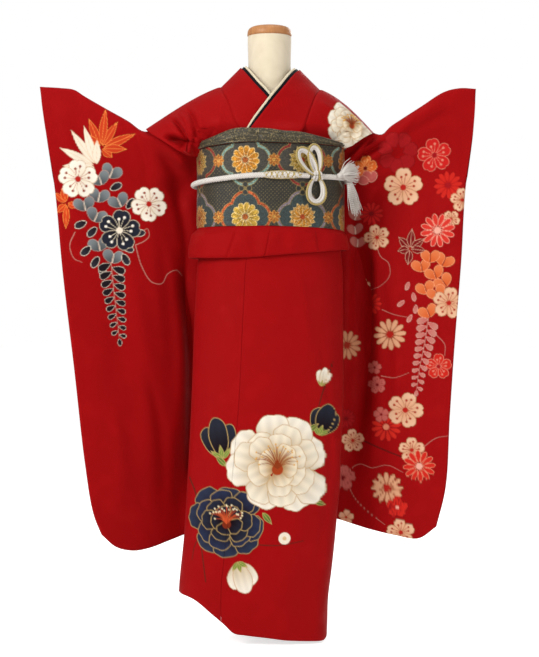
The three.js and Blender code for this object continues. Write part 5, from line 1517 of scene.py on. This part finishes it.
# ---- the cord
def seat_frame(at, z):
    outwards = normal_of(waist, np.float64(at), np.float64(z), from_axis)
    sideways = np.array([-outwards[1], outwards[0], 0])
    return outwards, sideways


def laid_cord(name, path, radius, strands=4, lay=15.0, sides=24, step=1.6):
    """A cord of plump strands laid round each other, as one tube whose section turns."""
    route = Route(path)
    count = max(12, int(route.lengths[-1] / step))
    line = route.share(np.linspace(0, 1, count))
    along = unit(np.gradient(line, axis=0))
    side = unit(np.cross(along, np.array([0, 0.02, 1.0])))
    if np.abs(along[:, 2]).max() > 0.9:
        side = unit(np.cross(along, np.array([0, -1.0, 0.02])))
    top = np.cross(side, along)
    turns = np.linspace(0, 2 * np.pi, sides + 1)
    length = np.linspace(0, route.lengths[-1], count)
    phase = strands / 2 * turns[None, :] - (strands / 2) * 2 * np.pi * length[:, None] / lay
    r = radius * (0.64 + 0.36 * np.abs(np.cos(phase)) ** 1.2)
    r[:1], r[-1:] = 0, 0
    p, centre = rings(line, side, top, r, turns)
    weave = np.stack(np.broadcast_arrays(length[:, None], turns[None, :] * radius), -1)
    return lattice_mesh(name, p, lambda q: q - centre, weave, merge=True)


THREADS = 115  # in a tassel


def build_cord():
    white, gilt = [], []
    bearings = np.linspace(CORD_RUN[0][0], CORD_RUN[-1][0], 60)
    run = on_waist(bearings, between(CORD_RUN, bearings), CORD_SEAT + 0 * bearings)
    white.append(laid_cord("run", run, 6.8, 4, 28.0, 18, 1.8))
    start, end, level = ORNAMENT
    for k in range(5):
        a = np.linspace(start, end, 60)
        t = np.linspace(0, 1, 60)
        swell = np.sin(np.pi * (0.06 + 0.88 * t)) ** 0.4
        phase = 2 * np.pi * (t * 3.5 + k / 5)
        path = on_waist(a, level + 8.0 * swell * np.sin(phase), CORD_SEAT + 2.4 + 2.6 * np.cos(2 * phase))
        (gilt if k in (1, 3) else white).append(laid_cord("plait", path, 2.3, 3, 7.0, 12, 1.4))
    for edge in (-1, 1):
        a = np.linspace(start - 0.5, end + 0.5, 40)
        swell = np.sin(np.pi * (0.05 + 0.9 * np.linspace(0, 1, 40))) ** 0.4
        gilt.append(
            laid_cord("edging", on_waist(a, level + edge * 9.0 * swell, CORD_SEAT + 1 + 0 * a), 1.3, 2, 5.0, 8, 1.4)
        )
    outwards, sideways = seat_frame(KNOT_AT, KNOT_Z)
    up = np.array([0, 0, 1.0])
    thick, tall = KNOT_HALF
    knot = on_waist(np.float64(KNOT_AT), np.float64(KNOT_Z), np.float64(OFF_OBI + SEAM + thick))
    for k, (shift, lean) in enumerate(((-8.5, 0.25), (-2.5, 0.1), (3.5, -0.1), (9, -0.3))):
        turn = np.linspace(0, 2 * np.pi, 26)
        squeeze = math.sqrt(max(0.2, 1 - (shift / 15) ** 2))
        path = knot + sideways * shift + (np.sin(turn) * (tall - 3.4) * squeeze)[:, None] * up
        path = path + (np.cos(turn) * (thick - 3.2))[:, None] * outwards + (np.sin(turn) * lean * 8)[:, None] * sideways
        (gilt if k == 2 else white).append(laid_cord("wrap", path, 3.3, 3, 9.0, 14, 1.6))
    for clock, length, width in LOOPS:
        away = sideways * math.cos(math.radians(clock)) + up * math.sin(math.radians(clock))
        beside = np.cross(outwards, away)
        turn = 2 * np.pi * np.linspace(0, 1, 40)
        far = 0.5 - 0.5 * np.cos(turn)
        reach = 4 + (length - 9.5) * far
        swing = (width / 2 - 2.75) * np.sin(turn) * (0.75 + 0.35 * far)
        middle = knot + outwards * 0.5 + reach[:, None] * away + swing[:, None] * beside
        white.append(laid_cord("loop", middle, 4.1, 4, 18.0, 16, 1.5))
        for shift in (-1, 1):
            grown = knot + outwards * (0.5 + 1.4 * shift) + (reach + shift * 5.0 * far)[:, None] * away
            grown = grown + (swing * (1 + shift * 0.26))[:, None] * beside
            (gilt if shift > 0 else white).append(laid_cord("loop_edge", grown, 3.0, 3, 15.0, 10, 1.5))
    piece("obijime", joined("obijime", white), "braid", ["obijime"])
    piece("obijime_gilt", joined("obijime_gilt", gilt), "gilt", slot="braid")

    for name, at, z, turn, length, spread in TASSELS:
        outwards, sideways = seat_frame(at, z)
        hang = sideways * math.cos(math.radians(turn)) + up * math.sin(math.radians(turn))
        beside = np.cross(outwards, hang)
        seat = on_waist(np.float64(at), np.float64(z), np.float64(OFF_OBI + 12 + 7.5 - SEAM))
        parts = [laid_cord("head", [seat + hang * d for d in (0, 3, 6, 9, 12)], 6.0, 8, 200.0, 24, 1.0)]
        for d in (4.0, 8.0):
            ring = [
                seat + hang * d + (
                    beside * math.cos(a) + outwards * math.sin(a)
                ) * 5.8 for a in np.linspace(0, 2 * math.pi, 20)
            ]
            parts.append(laid_cord("binding", ring, 1.1, 2, 5.0, 8, 1.4))
        rng = np.random.default_rng(len(name))
        for i in range(THREADS):
            r, a = math.sqrt((i + 0.5) / THREADS), i * math.pi * (3 - math.sqrt(5))
            side = np.array([math.cos(a), math.sin(a)]) * r
            root = seat + hang * 9.5 + beside * side[0] * 5.6 + outwards * side[1] * 5.6
            reach = length * (1 - 0.12 * r * r) * (1 + 0.09 * rng.standard_normal())
            t = np.linspace(0, 1, 7)[:, None]
            wave = 2.2 * np.sin(t * rng.uniform(4, 9) + rng.uniform(0, 6)) * t
            stray = 0.22 * spread * rng.standard_normal(2)
            tip = hang * reach + beside * (side[0] * spread + stray[0]) + outwards * (
                abs(side[1]) * spread * 0.6 + abs(stray[1])
            )
            line = root + tip * t - up * (length * 0.14) * t**2
            line = line + beside * side[0] * 4 * np.sin(np.pi * t) + wave * beside
            parts.append(tube_mesh("strand", line, np.linspace(1.25, 0.6, 7), 4, up=(0.3, 0.2, 1)))
        piece(name, joined(name, parts), "braid", [name])


# ---- the stage
FOCAL_LENGTH, CAMERA_AWAY, CAMERA_HEIGHT = 91.34, 4.0, 0.74  # millimetres, metres, metres


def build_stage():
    x, y = grid(np.linspace(-60000, 60000, 13), np.linspace(-60000, 60000, 13))
    mesh = lattice_mesh("studio_floor", point(x, y, -0.5), same_way((0, 0, 1)))
    floor = bpy.data.objects.new("studio_floor", mesh)
    bpy.context.scene.collection.objects.link(floor)
    mesh.materials.append(finish("floor"))

    look = bpy.context.scene.kimono_stage
    world = bpy.data.worlds.new("studio")
    world.use_nodes = True
    tree = world.node_tree
    # The surroundings are seen pure white and light the cloth with less.
    seen = node(tree, "LightPath", output="Is Camera Ray")
    strength = node(tree, "MapRange", {0: seen, 3: look.ambient, 4: 1.0})
    tree.nodes["Background"].inputs["Color"].default_value = (1, 1, 1, 1)
    tree.links.new(strength, tree.nodes["Background"].inputs["Strength"])
    bpy.context.scene.world = world
    bpy.context.scene.view_settings.view_transform = "Standard"
    for name, place, target, size, share in (
        ("key_softbox", (-2.6, -3.0, 2.6), (0, 0, 0.8), 1.6, 1.0),
        ("fill_softbox", (2.8, -3.4, 1.4), (0, 0, 0.7), 2.2, 0.3),
        ("top_softbox", (0.2, -0.4, 3.6), (0, 0, 0.9), 1.8, 0.2),
        ("back_softbox", (1.9, 3.4, 2.4), (0, 0, 0.8), 2.0, 0.6),
    ):
        lamp = bpy.data.lights.new(name, "AREA")
        lamp.energy, lamp.size = look.key_power * share, size
        box = bpy.data.objects.new(name, lamp)
        bpy.context.scene.collection.objects.link(box)
        box.location = place
        box.rotation_mode = "QUATERNION"
        box.rotation_quaternion = (Vector(target) - Vector(place)).to_track_quat("-Z", "Y")
    lens = bpy.data.cameras.new("camera")
    lens.lens, lens.sensor_width, lens.clip_end = FOCAL_LENGTH, 36, 60
    camera = bpy.data.objects.new("camera", lens)
    bpy.context.scene.collection.objects.link(camera)
    camera.location, camera.rotation_euler = (0, -CAMERA_AWAY, CAMERA_HEIGHT), (math.pi / 2, 0, 0)
    bpy.context.scene.camera = camera


# ---- the add-on
class KimonoColours(bpy.types.PropertyGroup):
    silk: FloatVectorProperty(
        name="Silk", description="Colour of the dyed silk in the light", subtype="COLOR_GAMMA",
        default=(0.73, 0.04, 0.06), min=0, max=1
    )
    silk_deep: FloatVectorProperty(
        name="Silk in its grain", description="Colour of the silk between its threads", subtype="COLOR_GAMMA",
        default=(0.56, 0.02, 0.035), min=0, max=1
    )


class KimonoSizes(bpy.types.PropertyGroup):
    silk_wall: FloatProperty(
        name="Silk", description="Thickness of the silk and its lining", default=0.0016, min=0.0008, max=0.003,
        unit="LENGTH"
    )


class KimonoStage(bpy.types.PropertyGroup):
    ambient: FloatProperty(
        name="Ambient", description="Brightness of the white surroundings", default=0.4, min=0, max=4
    )
    key_power: FloatProperty(
        name="Key softbox", description="Power of the main softbox", default=106, min=0, max=1000, unit="POWER"
    )


class KIMONO_OT_form(bpy.types.Operator):
    """Padded form, cap, pole and base"""

    bl_idname = "kimono.form"
    bl_label = "Form"

    def execute(self, context):
        build_form()
        return {"FINISHED"}


class KIMONO_OT_skirt(bpy.types.Operator):
    """The six panels of the wrapped skirt, with their painted flowers"""

    bl_idname = "kimono.skirt"
    bl_label = "Skirt"

    def execute(self, context):
        build_skirt()
        return {"FINISHED"}


class KIMONO_OT_ohashori(bpy.types.Operator):
    """The fold of spare length under the obi"""

    bl_idname = "kimono.ohashori"
    bl_label = "Ohashori"

    def execute(self, context):
        build_ohashori()
        return {"FINISHED"}


class KIMONO_OT_body(bpy.types.Operator):
    """Both halves of the body, the collar and the strips inside it"""

    bl_idname = "kimono.body"
    bl_label = "Body and collar"

    def execute(self, context):
        build_body()
        return {"FINISHED"}


class KIMONO_OT_sleeves(bpy.types.Operator):
    """The two layers of each long sleeve, with their painted sprays"""

    bl_idname = "kimono.sleeves"
    bl_label = "Sleeves"

    def execute(self, context):
        build_sleeves()
        return {"FINISHED"}


class KIMONO_OT_obi(bpy.types.Operator):
    """The brocade band round the waist and the scarf in its upper edge"""

    bl_idname = "kimono.obi"
    bl_label = "Obi and scarf"

    def execute(self, context):
        build_obi()
        return {"FINISHED"}


class KIMONO_OT_drum(bpy.types.Operator):
    """The box-shaped knot at the back, its hand and its tail"""

    bl_idname = "kimono.drum"
    bl_label = "Drum knot"

    def execute(self, context):
        build_drum()
        return {"FINISHED"}


class KIMONO_OT_cord(bpy.types.Operator):
    """The plaited cord, its woven front, knot, loops and tassels"""

    bl_idname = "kimono.cord"
    bl_label = "Cord and tassels"

    def execute(self, context):
        build_cord()
        return {"FINISHED"}


class KIMONO_OT_stage(bpy.types.Operator):
    """Floor, light and camera"""

    bl_idname = "kimono.stage"
    bl_label = "Stage"

    def execute(self, context):
        build_stage()
        return {"FINISHED"}


STEPS = ("form", "skirt", "ohashori", "body", "sleeves", "obi", "drum", "cord", "stage")


class KIMONO_PT_panel(bpy.types.Panel):
    bl_label = "Furisode kimono"
    bl_idname = "KIMONO_PT_panel"
    bl_space_type = "VIEW_3D"
    bl_region_type = "UI"
    bl_category = "Kimono"

    def draw(self, context):
        for group, names in (
            ("kimono_colours", ("silk", "silk_deep")), ("kimono_sizes", ("silk_wall",)),
            ("kimono_stage", ("ambient", "key_power"))
        ):
            for name in names:
                self.layout.prop(getattr(context.scene, group), name)
        for step in STEPS:
            self.layout.operator(f"kimono.{step}")


GROUPS = {"kimono_colours": KimonoColours, "kimono_sizes": KimonoSizes, "kimono_stage": KimonoStage}
OPERATORS = (
    KIMONO_OT_form, KIMONO_OT_skirt, KIMONO_OT_ohashori, KIMONO_OT_body, KIMONO_OT_sleeves, KIMONO_OT_obi,
    KIMONO_OT_drum, KIMONO_OT_cord, KIMONO_OT_stage
)


def register():
    for made in (*GROUPS.values(), *OPERATORS, KIMONO_PT_panel):
        bpy.utils.register_class(made)
    for name, group in GROUPS.items():
        setattr(bpy.types.Scene, name, PointerProperty(type=group))


def unregister():
    for name in GROUPS:
        delattr(bpy.types.Scene, name)
    for made in reversed((*GROUPS.values(), *OPERATORS, KIMONO_PT_panel)):
        bpy.utils.unregister_class(made)


def main():
    register()
    for step in STEPS:
        getattr(bpy.ops.kimono, step)()


if __name__ == "__main__":
    main()
